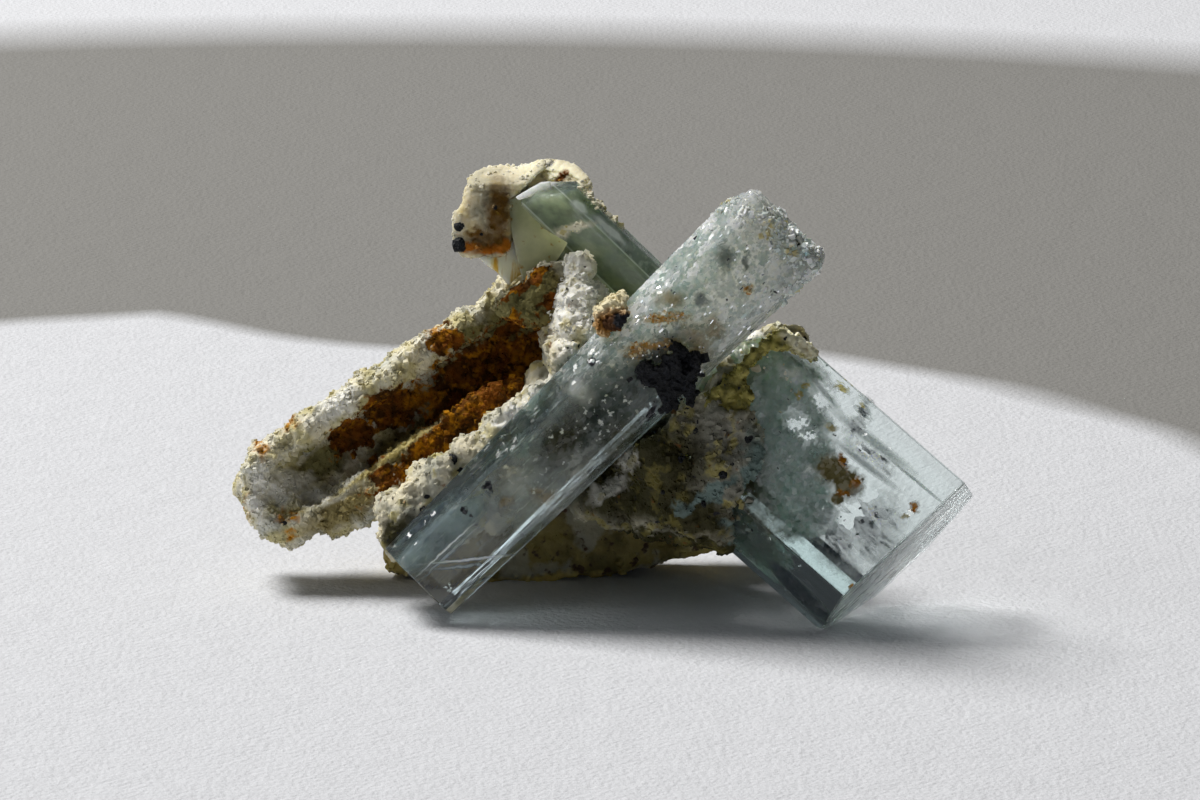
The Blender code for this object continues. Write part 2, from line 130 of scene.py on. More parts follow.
def ranged(value, low, high, out_low=0.0, out_high=1.0):
    """The value spread from low to high into out_low to out_high, and level beyond."""
    ends = {"Value": value, "From Min": low, "From Max": high, "To Min": out_low, "To Max": out_high}
    return added(value.id_data, "ShaderNodeMapRange", ends).outputs["Result"]


def arithmetic(operation, first, second=0.5, clamp=True):
    """Arithmetic with two values, one of them a socket."""
    tree = (first if isinstance(first, bpy.types.NodeSocket) else second).id_data
    settings = {"operation": operation, "use_clamp": clamp}
    return added(tree, "ShaderNodeMath", {0: first, 1: second}, **settings).outputs["Value"]


def times(first, second):
    """Their product, kept between 0 and 1."""
    return arithmetic("MULTIPLY", first, second)


def most(first, second):
    """The larger of two values, kept between 0 and 1."""
    return arithmetic("MAXIMUM", first, second)


def cloudy(coords, size, low, high, detail=3.0, seed=0.0, stretch=(1.0, 1.0, 1.0), distortion=0.0):
    """Noise of a feature size in millimetres, spread from low to high into 0 to 1."""
    where = mapped(coords, [s / size for s in stretch], (seed, -seed, 2.0 * seed))
    return ranged(noisy(where, detail, distortion)["Fac"], low, high)


def laid_over(under, over, mask, strength=None):
    """Colour over on colour under where mask is 1. A colour is three numbers or a socket."""
    if strength is not None:
        mask = times(mask, strength)
    inputs = {0: mask, 6: under, 7: over}
    for key in (6, 7):
        if not isinstance(inputs[key], bpy.types.NodeSocket):
            inputs[key] = (*inputs[key], 1.0)
    return added(mask.id_data, "ShaderNodeMix", inputs, data_type="RGBA").outputs[2]


def placed(shader, origin, axes):
    """Coordinates in millimetres from origin, along three axes given as unit vectors."""
    turn = Matrix(axes)
    inputs = {
        "Vector": added(shader.id_data, "ShaderNodeTexCoord").outputs["Object"],
        "Scale": (1000.0, 1000.0, 1000.0),
        "Rotation": turn.to_euler("XYZ"),
        "Location": -(turn @ (Vector(origin) * 1000.0)),
    }
    return added(shader.id_data, "ShaderNodeMapping", inputs).outputs["Vector"]


def grained(shader, *heights):
    """Bump from (height socket, depth in millimetres) pairs, fine ones last."""
    bump = {}
    for height, depth in heights:
        inputs = {"Height": height, "Distance": depth * MM, **bump}
        bump = {"Normal": added(shader.id_data, "ShaderNodeBump", inputs).outputs["Normal"]}
    wired(shader, bump)


def put_in_scene(name, bm, finish, smooth=False):
    """A mesh object at the origin with its place in its mesh."""
    mesh = bpy.data.meshes.new(name)
    bm.to_mesh(mesh)
    bm.free()
    for face in mesh.polygons:
        face.use_smooth = smooth
    mesh.materials.append(finish)
    piece = bpy.data.objects.new(name, mesh)
    bpy.context.scene.collection.objects.link(piece)
    return piece


def felt_finish():
    """Mottled felt with a wavy rim, dented at the back, then grey painted as shade for felt far back, and a
    strip far away.
    """
    finish, shader = new_finish("felt_and_far_shade")
    coords = placed(shader, (PAD_CENTRE_X * MM, 0.0, 0.0), Matrix.Identity(3))
    wave = ranged(cloudy(coords, 16.0, 0.0, 1.0, 1.0, 3.0), 0.0, 1.0, -PAD_WAVE, PAD_WAVE)
    reach = vectors("LENGTH", vectors("DIVIDE", coords, PAD_HALF_SIZES)["Vector"])["Value"]
    from_dent = vectors("DISTANCE", coords, PAD_DENT)["Value"]
    dent = ranged(from_dent, *PAD_DENT_REACH, 0.0, PAD_DENT_DEPTH)
    edge = arithmetic("ADD", arithmetic("ADD", reach, wave, False), dent, False)
    on_strip = ranged(vectors("LENGTH", coords)["Value"], *STRIP_EDGE)
    mottle = cloudy(coords, 0.8, 0.25, 0.75, 4.0)
    felt = laid_over([c * 0.94 for c in FELT_COLOUR], FELT_COLOUR, mottle)
    # Grey painted beyond the pad as shade, then the white strip far away.
    far_shade_and_strip = laid_over(FAR_SHADE_GREY, STRIP_COLOUR, on_strip)
    colour = laid_over(felt, far_shade_and_strip, ranged(edge, *PAD_EDGE))
    wired(shader, {"Base Color": colour, "Roughness": 1.0, "Specular IOR Level": 0.1})
    fuzz = cloudy(coords, 0.22, 0.2, 0.8, 4.0, 7.0)
    quilt = cloudy(coords, 2.2, 0.2, 0.8, 2.0, 9.0)
    grained(shader, (quilt, 0.06), (fuzz, 0.05))
    return finish


floor_mesh = bmesh.new()
bmesh.ops.create_grid(floor_mesh, x_segments=1, y_segments=1, size=FLOOR_HALF_SIZE)
floor = put_in_scene("felt_floor", floor_mesh, felt_finish())

world = bpy.data.worlds.new("pale_room")
world.use_nodes = True
wired(world.node_tree.nodes["Background"], {"Color": SKY_COLOUR, "Strength": SKY_STRENGTH})
bpy.context.scene.world = world


def soft_window(name, place, size, power, colour):
    """Square lamp at a place in millimetres that faces the middle of the cluster."""
    lamp = bpy.data.lights.new(name, "AREA")
    lamp.size = size * MM
    lamp.energy = power
    lamp.color = colour
    holder = bpy.data.objects.new(name, lamp)
    holder.location = Vector(place) * MM
    holder.rotation_euler = (AIM - holder.location).to_track_quat("-Z", "Y").to_euler()
    bpy.context.scene.collection.objects.link(holder)


soft_window("back_window", (-231.0, 128.0, 431.0), 190.0, 3.1, (1.0, 0.985, 0.96))
soft_window("left_fill", (-330.0, -90.0, 200.0), 200.0, 0.14, (0.95, 0.97, 1.0))

camera = bpy.data.cameras.new("camera")
camera.sensor_width = 36.0
camera.lens = CAMERA_LENS
camera.clip_start = 0.01
camera.clip_end = 10.0
camera_holder = bpy.data.objects.new("camera", camera)
camera_holder.location = AIM + CAMERA_DISTANCE * Vector((0.0, -math.cos(LEAN), math.sin(LEAN)))
camera_holder.rotation_euler = (math.pi / 2.0 - LEAN, 0.0, 0.0)
bpy.context.scene.collection.objects.link(camera_holder)
bpy.context.scene.camera = camera_holder
bpy.context.scene.view_settings.view_transform = "Standard"

# ---------------------------------------------------------------------------------------------
# Central matrix.
# Feldspar and mica crust that the crystals grew out of: white and cream crumbs along the crest,
# grey lumps in the middle and olive patches with black specks, with painted shade in the hollows
# and where the long crystal shades the middle. Each grain is part of one crust.

# Right, back and up of the leaning board that the cluster was laid out on.
BOARD = Matrix(
    (
        (1.0, 0.0, 0.0),
        (0.0, math.cos(LEAN), -math.sin(LEAN)),
        (0.0, math.sin(LEAN), math.cos(LEAN)),
    )
)
RIGHT, BACK, UP = (axis.copy() for axis in BOARD)
BOARD_ORIGIN = Vector((0.04 * MM, 1.25 * MM, 6.45 * MM))
NEAR_GLASS = 0.12 * MM
SAME_POINT = 1e-6
PER_SQUARE_MM = 1e6
GRAIN_RARITY = 2.5
GRAIN_STRETCH = ((0.6,) * 3, (1.3,) * 3)
GRAIN_TURNS = ((0.0,) * 3, (3.1,) * 3)
PATCH_THROUGH = 40.0


def board_point(x, h, d):
    """Place in metres of a point on the leaning board, in millimetres."""
    return BOARD_ORIGIN + (RIGHT * x + BACK * d + UP * h) * MM


def board_spot(place):
    """x to the right, depth, and height up the board, in millimetres, of a place."""
    return BOARD @ (place - BOARD_ORIGIN) * 1000.0


def board_coordinates(shader):
    """The same three as coordinates for a material."""
    return placed(shader, BOARD_ORIGIN, BOARD)


def ramp(value, start, span):
    """0 at start and 1 a span further on, and level beyond both."""
    return min(1.0, max(0.0, (value - start) / span))


def faces_of(piece):
    """The piece's faces, for finding the nearest one or the one that a line meets."""
    return BVHTree.FromObject(piece, bpy.context.evaluated_depsgraph_get())


def evaluated_copy(piece):
    """The piece's mesh after its modifiers, as a bmesh, with the piece itself removed."""
    bm = bmesh.new()
    bm.from_object(piece, bpy.context.evaluated_depsgraph_get())
    bpy.data.objects.remove(piece)
    return bm


def packed_mesh(node_name):
    """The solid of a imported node, with its points joined up."""
    bm = bmesh.new()
    bm.from_mesh(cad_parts[node_name].data)
    bmesh.ops.remove_doubles(bm, verts=bm.verts, dist=SAME_POINT)
    return bm


def relief_at(point, layers):
    """Height in millimetres of layered crumbs and grain at a point in millimetres."""
    total = 0.0
    for kind, size, depth, seed in layers:
        spot = (point + Vector((seed, 1.7 * seed, -seed))) / size
        if kind == "crumb":
            total += depth * (0.55 - noise.voronoi(spot)[0][0])
        else:
            total += depth * noise.fractal(spot, 0.9, 2.0, 3)
    return total


def crusted(name, bm, voxel, swell, layers, finish, smoothing, strength=None):
    """Fine solid copy of a mesh with crumbs pushed out of its surface."""
    helper = put_in_scene("helper", bm, finish)
    remesh = helper.modifiers.new("remesh", "REMESH")
    remesh.mode = "VOXEL"
    remesh.voxel_size = voxel * MM
    soften = helper.modifiers.new("soften", "SMOOTH")
    soften.factor = 0.5
    soften.iterations = smoothing
    bm = evaluated_copy(helper)
    bm.normal_update()
    heights = [relief_at(vert.co * 1000.0, layers) for vert in bm.verts]
    if strength:
        heights = [height * strength(vert.co) for vert, height in zip(bm.verts, heights)]
    moves = [vert.normal * ((swell + height) * MM) for vert, height in zip(bm.verts, heights)]
    for vert, move in zip(bm.verts, moves):
        vert.co += move
    piece = put_in_scene(name, bm, finish, True)
    relief = piece.data.attributes.new("relief", "FLOAT", "POINT")
    spread = max(abs(h) for h in heights)
    relief.data.foreach_set("value", [h / spread for h in heights])
    return piece


def pushed_back(piece, amount):
    """Moves a crust back into the board by the millimetres that amount gives for each spot."""
    for vert in piece.data.vertices:
        vert.co += BACK * (amount(board_spot(vert.co)) * MM)


def within(spot, zones):
    """Whether a spot on the board lies in one of the ellipses."""
    for x, h, rx, rh, turned in zones:
        c = math.cos(math.radians(turned))
        s = math.sin(math.radians(turned))
        right = ((spot.x - x) * c + (spot.z - h) * s) / rx
        up = ((spot.z - h) * c - (spot.x - x) * s) / rh
        if right * right + up * up < 1.0:
            return True
    return False


def random_between(tree, kind, low, high, seed):
    """A random number or vector for each instance."""
    first, output = (0, 0) if kind == "FLOAT_VECTOR" else (2, 1)
    inputs = {first: low, first + 1: high, "Seed": seed}
    return added(tree, "FunctionNodeRandomValue", inputs, data_type=kind).outputs[output]


def grain_nodes(per_area, smallest, largest, seed):
    """Geometry nodes that turn a skin into randomly turned blocks, most of them small."""
    tree = bpy.data.node_groups.new("grains", "GeometryNodeTree")
    for side in ("INPUT", "OUTPUT"):
        tree.interface.new_socket("Geometry", in_out=side, socket_type="NodeSocketGeometry")
    skin = added(tree, "NodeGroupInput").outputs[0]
    share = added(tree, "GeometryNodeInputNamedAttribute", {"Name": "share"}, data_type="FLOAT").outputs[0]
    dense = {0: share, 1: per_area * PER_SQUARE_MM}
    dense = added(tree, "ShaderNodeMath", dense, operation="MULTIPLY").outputs[0]
    spread = {"Mesh": skin, "Density": dense, "Seed": seed}
    spread = added(tree, "GeometryNodeDistributePointsOnFaces", spread, distribute_method="RANDOM")
    cube = added(tree, "GeometryNodeMeshCube", {"Size": (MM, MM, MM)}).outputs["Mesh"]
    dice = random_between(tree, "FLOAT", 0.0, 1.0, seed + 1)
    rare = added(tree, "ShaderNodeMath", {0: dice, 1: GRAIN_RARITY}, operation="POWER").outputs[0]
    size = added(tree, "ShaderNodeMapRange", {"Value": rare, "To Min": smallest, "To Max": largest})
    block = random_between(tree, "FLOAT_VECTOR", *GRAIN_STRETCH, seed + 2)
    block = {0: block, "Scale": size.outputs["Result"]}
    shape = added(tree, "ShaderNodeVectorMath", block, operation="SCALE").outputs["Vector"]
    turn = random_between(tree, "FLOAT_VECTOR", *GRAIN_TURNS, seed + 3)
    blocks = {"Points": spread.outputs["Points"], "Instance": cube, "Rotation": turn, "Scale": shape}
    blocks = added(tree, "GeometryNodeInstanceOnPoints", blocks).outputs["Instances"]
    real = added(tree, "GeometryNodeRealizeInstances", {"Geometry": blocks}).outputs["Geometry"]
    added(tree, "NodeGroupOutput", {0: real})
    return tree


def grains(name, carrier, per_area, smallest, largest, seed, finish, zones=None, solid=None):
    """Small blocky crystals half sunk in a skin, so many to its square millimetre, near its solid."""
    helper = carrier.copy()
    helper.data = carrier.data.copy()
    bpy.context.scene.collection.objects.link(helper)
    verts = helper.data.vertices
    share = [float(not zones or within(board_spot(vert.co), zones)) for vert in verts]
    if solid:
        faces = faces_of(solid)
        near = [faces.find_nearest(vert.co, NEAR_GLASS)[0] is not None for vert in verts]
        share = [part * close for part, close in zip(share, near)]
    helper.data.attributes.new("share", "FLOAT", "POINT").data.foreach_set("value", share)
    helper.modifiers.new("grains", "NODES").node_group = grain_nodes(per_area, smallest, largest, seed)
    piece = put_in_scene(name, evaluated_copy(helper), finish)
    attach(piece, "root")
    return piece


def shaken(colour, amount):
    """A vector from -amount to amount along each axis, from a random colour."""
    return vectors("MULTIPLY_ADD", colour, (2.0 * amount,) * 3, (-amount,) * 3)["Vector"]


def frayed(coords, amount, size, seed=0.0):
    """The coordinates shaken by noise, so that what they place has a ragged edge."""
    where = mapped(coords, (1.0 / size,) * 3, (seed,) * 3)
    return vectors("ADD", coords, shaken(noisy(where, 4.0)["Color"], amount))["Vector"]


def patches(coords, places, soft):
    """Mask that is 1 inside any ellipse on the board: x, height, half width, half height, turn."""
    mask = None
    for x, h, rx, rh, turn in places:
        ellipse = {
            "Vector": coords,
            "Location": (x, 0.0, h),
            "Rotation": (0.0, -math.radians(turn), 0.0),
            "Scale": (rx, PATCH_THROUGH, rh),
        }
        inside = added(coords.id_data, "ShaderNodeMapping", ellipse, vector_type="TEXTURE")
        reach = vectors("LENGTH", inside.outputs["Vector"])["Value"]
        one = ranged(reach, 1.0 + soft, 1.0 - soft)
        mask = one if mask is None else most(mask, one)
    return mask


def painted(colour, *layers):
    """The colour under layers of a colour, its mask and, where it's weaker, its strength."""
    for paint, mask, *strength in layers:
        colour = laid_over(colour, paint, mask, *strength)
    return colour


def relief_value(shader):
    """How far the crumbs stand out here, from -1 to 1."""
    return added(shader.id_data, "ShaderNodeAttribute", attribute_name="relief").outputs["Fac"]


def translucent(shader, weight, reach):
    """Lets light soak into the stone as far as reach, in millimetres."""
    depths = {"Subsurface Radius": (1.0, 0.95, 0.75), "Subsurface Scale": reach * MM}
    wired(shader, {"Subsurface Weight": weight, **depths})


CREAM = (0.74, 0.68, 0.5)
WHITE = (0.96, 0.94, 0.85)
GREY = (0.46, 0.45, 0.36)
# Olive stone, its colour darkened to include painted shade where it lies in shade.
OLIVE = (0.055, 0.048, 0.01)
YELLOW_GREEN = (0.5, 0.42, 0.1)
RUST = (0.22, 0.07, 0.006)
ORANGE = (0.52, 0.22, 0.006)
BLACK = (0.012, 0.013, 0.018)
# Painted shade: a grey for the middle of the crust where the long crystal shades it, a darker olive laid
# over the olive, and a dark brown for the hollows.
PAINTED_SHADE_GREY = (0.24, 0.235, 0.19)
OLIVE_PAINTED_SHADE = (0.03, 0.027, 0.006)
HOLLOW_SHADE_BROWN = (0.1, 0.085, 0.04)
BLUE_GREY = (0.17, 0.235, 0.215)

MATRIX_OLIVE = (
    (1.2, -2.4, 2.3, 1.6, 20.0),
    (4.3, 0.2, 0.6, 0.5, 30.0),
    (5.8, 2.0, 0.5, 0.3, 0.0),
    (0.2, -1.3, 1.2, 0.9, 40.0),
    (2.6, -3.6, 1.8, 0.8, -20.0),
    (-6.7, -4.4, 0.6, 0.5, 40.0),
    (2.4, -4.85, 3.2, 0.45, -6.0),
)
MATRIX_BLUE = (
    (5.3, -2.6, 0.45, 1.6, 10.0),
    (4.7, -4.3, 0.8, 0.35, -30.0),
    (3.6, -3.1, 1.2, 0.25, 25.0),
)
# Where the long crystal shades the middle of the crust, painted as shade.
MATRIX_PAINTED_SHADE = (
    (3.6, -1.6, 2.0, 1.3, 20.0),
    (4.3, -3.4, 1.2, 0.9, 0.0),
)
MATRIX_WHITE = (
    (-0.8, 3.0, 0.9, 2.2, 10.0),
    (-2.2, -0.3, 1.9, 0.6, 35.0),
    (5.4, 1.6, 2.2, 0.6, -25.0),
    (0.9, -1.9, 0.35, 0.45, 0.0),
    (0.3, -2.9, 0.7, 0.3, 30.0),
)
MATRIX_GRAINY = (
    (1.8, -2.0, 6.0, 3.2, 0.0),
    (-4.8, -2.2, 3.6, 1.6, 35.0),
    (5.4, 1.6, 2.4, 0.9, -25.0),
)
CREST = ((-0.8, 3.0, 1.4, 2.8, 0.0),)
MATRIX_LAYERS = (
    ("fractal", 1.4, 0.1, 2.0),
    ("crumb", 0.55, 0.15, 5.0),
    ("crumb", 0.24, 0.12, 9.0),
    ("fractal", 0.13, 0.06, 4.0),
)
LUMP_SIZES = (0.65, 0.8, 0.55)
LUMP_PLACE = (3.9, 0.25, -3.0)


def surfaced(shader, colour, roughness, specular, soak, grain):
    """A grainy crust: soak is how much light goes in and how far, grain its size and depth."""
    wired(shader, {"Base Color": colour, "Roughness": roughness, "Specular IOR Level": specular})
    translucent(shader, *soak)
    size, depth = grain
    grained(shader, (cloudy(board_coordinates(shader), size, 0.2, 0.8, 5.0, 2.0), depth))


def matrix_finish():
    """Grey and cream in clouds, white and olive in patches, painted shade under the long crystal and in the
    hollows, black specks.
    """
    finish, shader = new_finish("crust")
    board = board_coordinates(shader)
    ragged = frayed(board, 0.5, 0.5)
    relief = relief_value(shader)
    olive = patches(ragged, MATRIX_OLIVE, 0.25)
    white = patches(ragged, MATRIX_WHITE, 0.25)
    covered = times(white, 0.9)
    # Painted shade in the hollows of the crumbs, left out under the white patches.
    hollow_shade = arithmetic("SUBTRACT", ranged(relief, -0.15, -0.75), covered)
    blue = patches(frayed(board, 0.9, 0.7, 14.0), MATRIX_BLUE, 0.3)
    colour = painted(
        GREY,
        (CREAM, cloudy(board, 1.3, 0.42, 0.58, 4.0, 1.0)),
        # Painted shade where the long crystal shades the middle.
        (PAINTED_SHADE_GREY, patches(ragged, MATRIX_PAINTED_SHADE, 0.4)),
        (OLIVE, olive),
        (WHITE, white),
        (YELLOW_GREEN, cloudy(board, 0.7, 0.54, 0.64, 3.0, 5.0), 0.6),
        # Painted shade: a darker olive over the olive patches.
        (OLIVE_PAINTED_SHADE, olive, 0.6),
        (RUST, cloudy(board, 0.45, 0.66, 0.73, 3.0, 8.0), 0.8),
        # Painted shade in the hollows.
        (HOLLOW_SHADE_BROWN, hollow_shade, 0.75),
        (BLUE_GREY, blue),
        (BLACK, cloudy(board, 0.3, 0.68, 0.72, 2.0, 12.0)),
    )
    surfaced(shader, colour, 0.7, 0.3, (0.4, 0.1), (0.11, 0.025))
    return finish


def matrix_strength(place):
    """The crest stands up more than the rest of the crust."""
    spot = board_spot(place)
    reach = ((spot.x + 0.8) / 1.4) ** 2 + ((spot.z - 3.0) / 2.8) ** 2
    return 1.0 + 0.5 * max(0.0, 1.0 - reach)


def matrix_slope(spot):
    """The front of the crest, and of the ledge over the thick crystal, lean back and face up."""
    move = 0.0
    if -2.6 < spot.x < 1.2 and 0.6 < spot.z < 5.6:
        rise = ramp(spot.z, 0.6, 4.0)
        left = ramp(spot.x, 0.4, -2.2)
        move = (1.2 * rise + 0.6 * left * min(1.0, 2.0 * rise)) * ramp(spot.y, -0.8, -3.2)
    if spot.y < -3.0:
        move += 0.9 * ramp(spot.x, 3.8, 0.8) * ramp(spot.z, -0.4, 0.6)
    return move


crust_finish = matrix_finish()
matrix_mesh = packed_mesh("central_matrix")
matrix = crusted("matrix_crust", matrix_mesh, 0.073, 0.1, MATRIX_LAYERS, crust_finish, 4, matrix_strength)
pushed_back(matrix, matrix_slope)
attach(matrix, "root")
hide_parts("central_matrix")
matrix_grains = grains("matrix_grains", matrix, 18.0, 0.04, 0.18, 3, crust_finish, MATRIX_GRAINY)
crest_grains = grains("crest_grains", matrix, 24.0, 0.05, 0.19, 13, crust_finish, CREST)
lump_mesh = bmesh.new()
bmesh.ops.create_icosphere(lump_mesh, subdivisions=3, radius=MM)
bmesh.ops.scale(lump_mesh, vec=LUMP_SIZES, verts=lump_mesh.verts)
bmesh.ops.translate(lump_mesh, vec=board_point(*LUMP_PLACE), verts=lump_mesh.verts)
lump = crusted("matrix_lump", lump_mesh, 0.05, 0.05, MATRIX_LAYERS, crust_finish, 2)
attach(lump, "root")

# ---------------------------------------------------------------------------------------------
# Stained arm.
# A long trough of pale crust, with a ledge and a brow, that a vanished crystal left behind. Iron
# water has stained its inside rust red and orange, and its rims stay cream and grey.

# Painted shade deep in the trough and its hollows, in a dark olive-brown.
ARM_TROUGH_SHADE = (
    (-2.8, 0.7, 1.7, 1.5, 20.0),
    (-2.4, 2.5, 1.3, 1.1, 35.0),
    (-4.6, 0.3, 2.0, 1.0, 35.0),
    (-6.5, -1.3, 1.5, 0.4, 38.0),
    (-9.7, -2.35, 1.1, 0.3, 15.0),
    (-1.9, 3.55, 1.2, 0.8, 38.0),
)
ARM_OLIVE = (
    (-2.9, 2.9, 1.4, 0.8, 35.0),
    (-9.4, -2.0, 1.0, 0.5, 30.0),
    (-4.4, 2.2, 0.7, 0.4, 35.0),
)
# Painted shade on the front of the lower ledge.
ARM_LEDGE_SHADE = ((-8.6, -3.7, 1.5, 0.5, 30.0),)
ARM_RUST = (
    (-5.17, 2.05, 0.5, 0.5, 0.0),
    (-6.92, -0.23, 1.05, 0.6, 20.0),
    (-8.26, -1.24, 0.85, 0.52, 25.0),
    (-3.7, 0.75, 2.3, 1.15, 32.0),
    (-4.87, -1.17, 2.9, 0.55, 36.0),
    (-7.25, -2.79, 0.38, 0.8, 10.0),
    (-3.1, 2.4, 0.3, 0.6, -40.0),
    (-2.45, 3.85, 1.0, 0.14, 38.0),
    (-1.6, 3.2, 0.35, 0.25, 0.0),
)
# White sugary crust at the left end and by the ledge, painted brighter to stand for the light on its
# upturned surface.
ARM_WHITE_AND_LIGHT = (
    (-10.7, -2.9, 0.9, 0.45, 5.0),
    (-11.4, -3.1, 0.3, 0.9, 0.0),
    (-8.7, -0.1, 0.8, 0.3, 30.0),
    (-9.7, -3.2, 0.7, 0.25, 0.0),
)
ARM_ORANGE = (
    (-5.6, 2.3, 0.35, 0.3, 0.0),
    (-6.1, 0.05, 0.5, 0.45, 0.0),
    (-5.3, -1.1, 1.5, 0.2, 40.0),
    (-10.5, -0.75, 0.3, 0.3, 0.0),
    (-11.35, -1.65, 0.25, 0.3, 0.0),
    (-10.4, -3.9, 0.45, 0.15, 0.0),
    (-10.3, -4.5, 0.3, 0.15, 0.0),
    (-11.85, -3.6, 0.18, 0.3, 0.0),
    (-2.5, 1.3, 0.6, 0.4, 30.0),
)
# Yellow top edge of the ledge, painted bright as a highlight where it faces up into the light.
ARM_YELLOW_LIT_EDGE = ((-7.2, -2.02, 1.8, 0.09, 36.0),)
ARM_LAYERS = (
    ("fractal", 1.3, 0.17, 12.0),
    ("crumb", 0.65, 0.12, 15.0),
    ("crumb", 0.26, 0.07, 19.0),
    ("fractal", 0.16, 0.08, 14.0),
)
LEDGE_LAYERS = (
    ("fractal", 1.2, 0.2, 41.0),
    ("crumb", 0.55, 0.22, 45.0),
    ("crumb", 0.22, 0.11, 49.0),
    ("fractal", 0.13, 0.05, 44.0),
)
LEDGE_OUTLINE = (
    (-9.9, -3.9),
    (-8.6, -3.05),
    (-5.8, -1.0),
    (-3.4, 0.5),
    (-2.9, -0.2),
    (-4.7, -1.9),
    (-6.7, -3.6),
    (-9.0, -4.5),
)
LEDGE_FRONT = 0.15
LEDGE_DEPTH = 1.1
BROW_OUTLINE = (
    (-1.65, 4.51),
    (-2.14, 4.15),
    (-2.7, 3.72),
    (-3.3, 3.28),
    (-3.2, 2.85),
    (-2.3, 2.6),
    (-1.3, 2.7),
    (-0.95, 3.62),
    (-1.15, 4.45),
)
BROW_FRONT = -2.55
BROW_DEPTH = 3.8


def arm_finish():
    """Grey and cream with olive and painted shade in the trough, on the ledge and in the hollows, under
    rust that ends in a ragged edge, then white crust painted brighter and a painted highlight on the
    ledge's top edge.
    """
    finish, shader = new_finish("stained_crust")
    board = board_coordinates(shader)
    ragged = frayed(board, 0.55, 0.6, 4.0)
    # Painted shade in the hollows.
    hollow_shade = ranged(relief_value(shader), -0.1, -0.8)
    rusty = painted(
        (0.07, 0.026, 0.003),
        (RUST, cloudy(board, 0.5, 0.42, 0.58, 4.0, 8.0)),
        (ORANGE, cloudy(board, 0.35, 0.52, 0.66, 4.0, 9.0)),
    )
    bitten = times(cloudy(board, 0.32, 0.3, 0.7, 5.0, 21.0), 0.75)
    worn = times(patches(ragged, ARM_RUST, 0.6), 1.3)
    worn = ranged(arithmetic("SUBTRACT", worn, bitten), 0.03, 0.25)
    amber = cloudy(board, 0.3, 0.4, 0.6, 4.0, 11.0)
    amber = times(patches(ragged, ARM_ORANGE, 0.5), amber)
    colour = painted(
        (0.62, 0.62, 0.54),
        ((0.84, 0.79, 0.62), cloudy(board, 1.1, 0.4, 0.6, 4.0, 3.0)),
        (YELLOW_GREEN, cloudy(board, 0.9, 0.46, 0.62, 3.0, 6.0), 0.6),
        # Painted shade deep in the trough.
        ((0.16, 0.13, 0.045), patches(ragged, ARM_TROUGH_SHADE, 0.4)),
        ((0.2, 0.18, 0.07), patches(ragged, ARM_OLIVE, 0.4)),
        # Painted shade on the front of the lower ledge.
        ((0.34, 0.28, 0.12), patches(ragged, ARM_LEDGE_SHADE, 0.4)),
        (rusty, worn),
        (ORANGE, amber),
        # Painted shade in the hollows.
        ((0.07, 0.05, 0.02), hollow_shade, 0.5),
        # White crust, painted brighter as light.
        (WHITE, patches(ragged, ARM_WHITE_AND_LIGHT, 0.5)),
        # Painted highlight on the ledge's yellow top edge.
        ((0.66, 0.56, 0.24), patches(frayed(board, 0.1, 0.15), ARM_YELLOW_LIT_EDGE, 0.5)),
    )
    surfaced(shader, colour, 0.9, 0.15, (0.3, 0.1), (0.12, 0.035))
    return finish


def thickened(bm, face, move):
    """Makes a closed solid of one face by carrying a copy of it along a way in metres."""
    grown = bmesh.ops.extrude_face_region(bm, geom=[face])
    far = [item for item in grown["geom"] if isinstance(item, bmesh.types.BMVert)]
    bmesh.ops.translate(bm, vec=move, verts=far)
    bmesh.ops.recalc_face_normals(bm, faces=bm.faces)


def slab(outline, front, depth, tilt=0.0):
    """Flat piece of an outline on the board, its front tilted about its first point."""
    bm = bmesh.new()
    depths = [front + tilt * (x - outline[0][0]) for x, h in outline]
    face = bm.faces.new([bm.verts.new(board_point(x, h, d)) for (x, h), d in zip(outline, depths)])
    thickened(bm, face, BACK * (depth * MM))
    return bm


stained_finish = arm_finish()
arm = crusted("arm_crust", packed_mesh("stained_arm"), 0.07, 0.04, ARM_LAYERS, stained_finish, 4)
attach(arm, "root")
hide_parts("stained_arm")
ledge_mesh = slab(LEDGE_OUTLINE, LEDGE_FRONT, LEDGE_DEPTH)
ledge = crusted("arm_ledge", ledge_mesh, 0.06, 0.03, LEDGE_LAYERS, stained_finish, 4)
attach(ledge, "root")
brow_mesh = slab(BROW_OUTLINE, BROW_FRONT, BROW_DEPTH)
brow = crusted("arm_brow", brow_mesh, 0.06, 0.02, LEDGE_LAYERS, stained_finish, 4)
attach(brow, "root")
arm_grains = grains("arm_grains", arm, 30.0, 0.04, 0.19, 4, stained_finish)
brow_grains = grains("brow_grains", brow, 30.0, 0.04, 0.17, 8, stained_finish)
ledge_grains = grains("ledge_grains", ledge, 45.0, 0.04, 0.17, 6, stained_finish)

# ---------------------------------------------------------------------------------------------
# Hood crust.
# Smoother pale crust that wraps the tip of the upper left crystal, with a brown stain towards
# the crystal and an orange lower edge. A thin skin of feldspar hangs from it and glows.

HOOD_BROWN = (
    (-3.35, 6.0, 0.4, 1.25, 0.0),
    (-3.65, 5.2, 0.8, 0.42, 0.0),
    (-4.1, 5.45, 0.35, 0.16, 0.0),
)
HOOD_STAR = ((-1.27, 7.42, 0.22, 0.16, 0.0),)
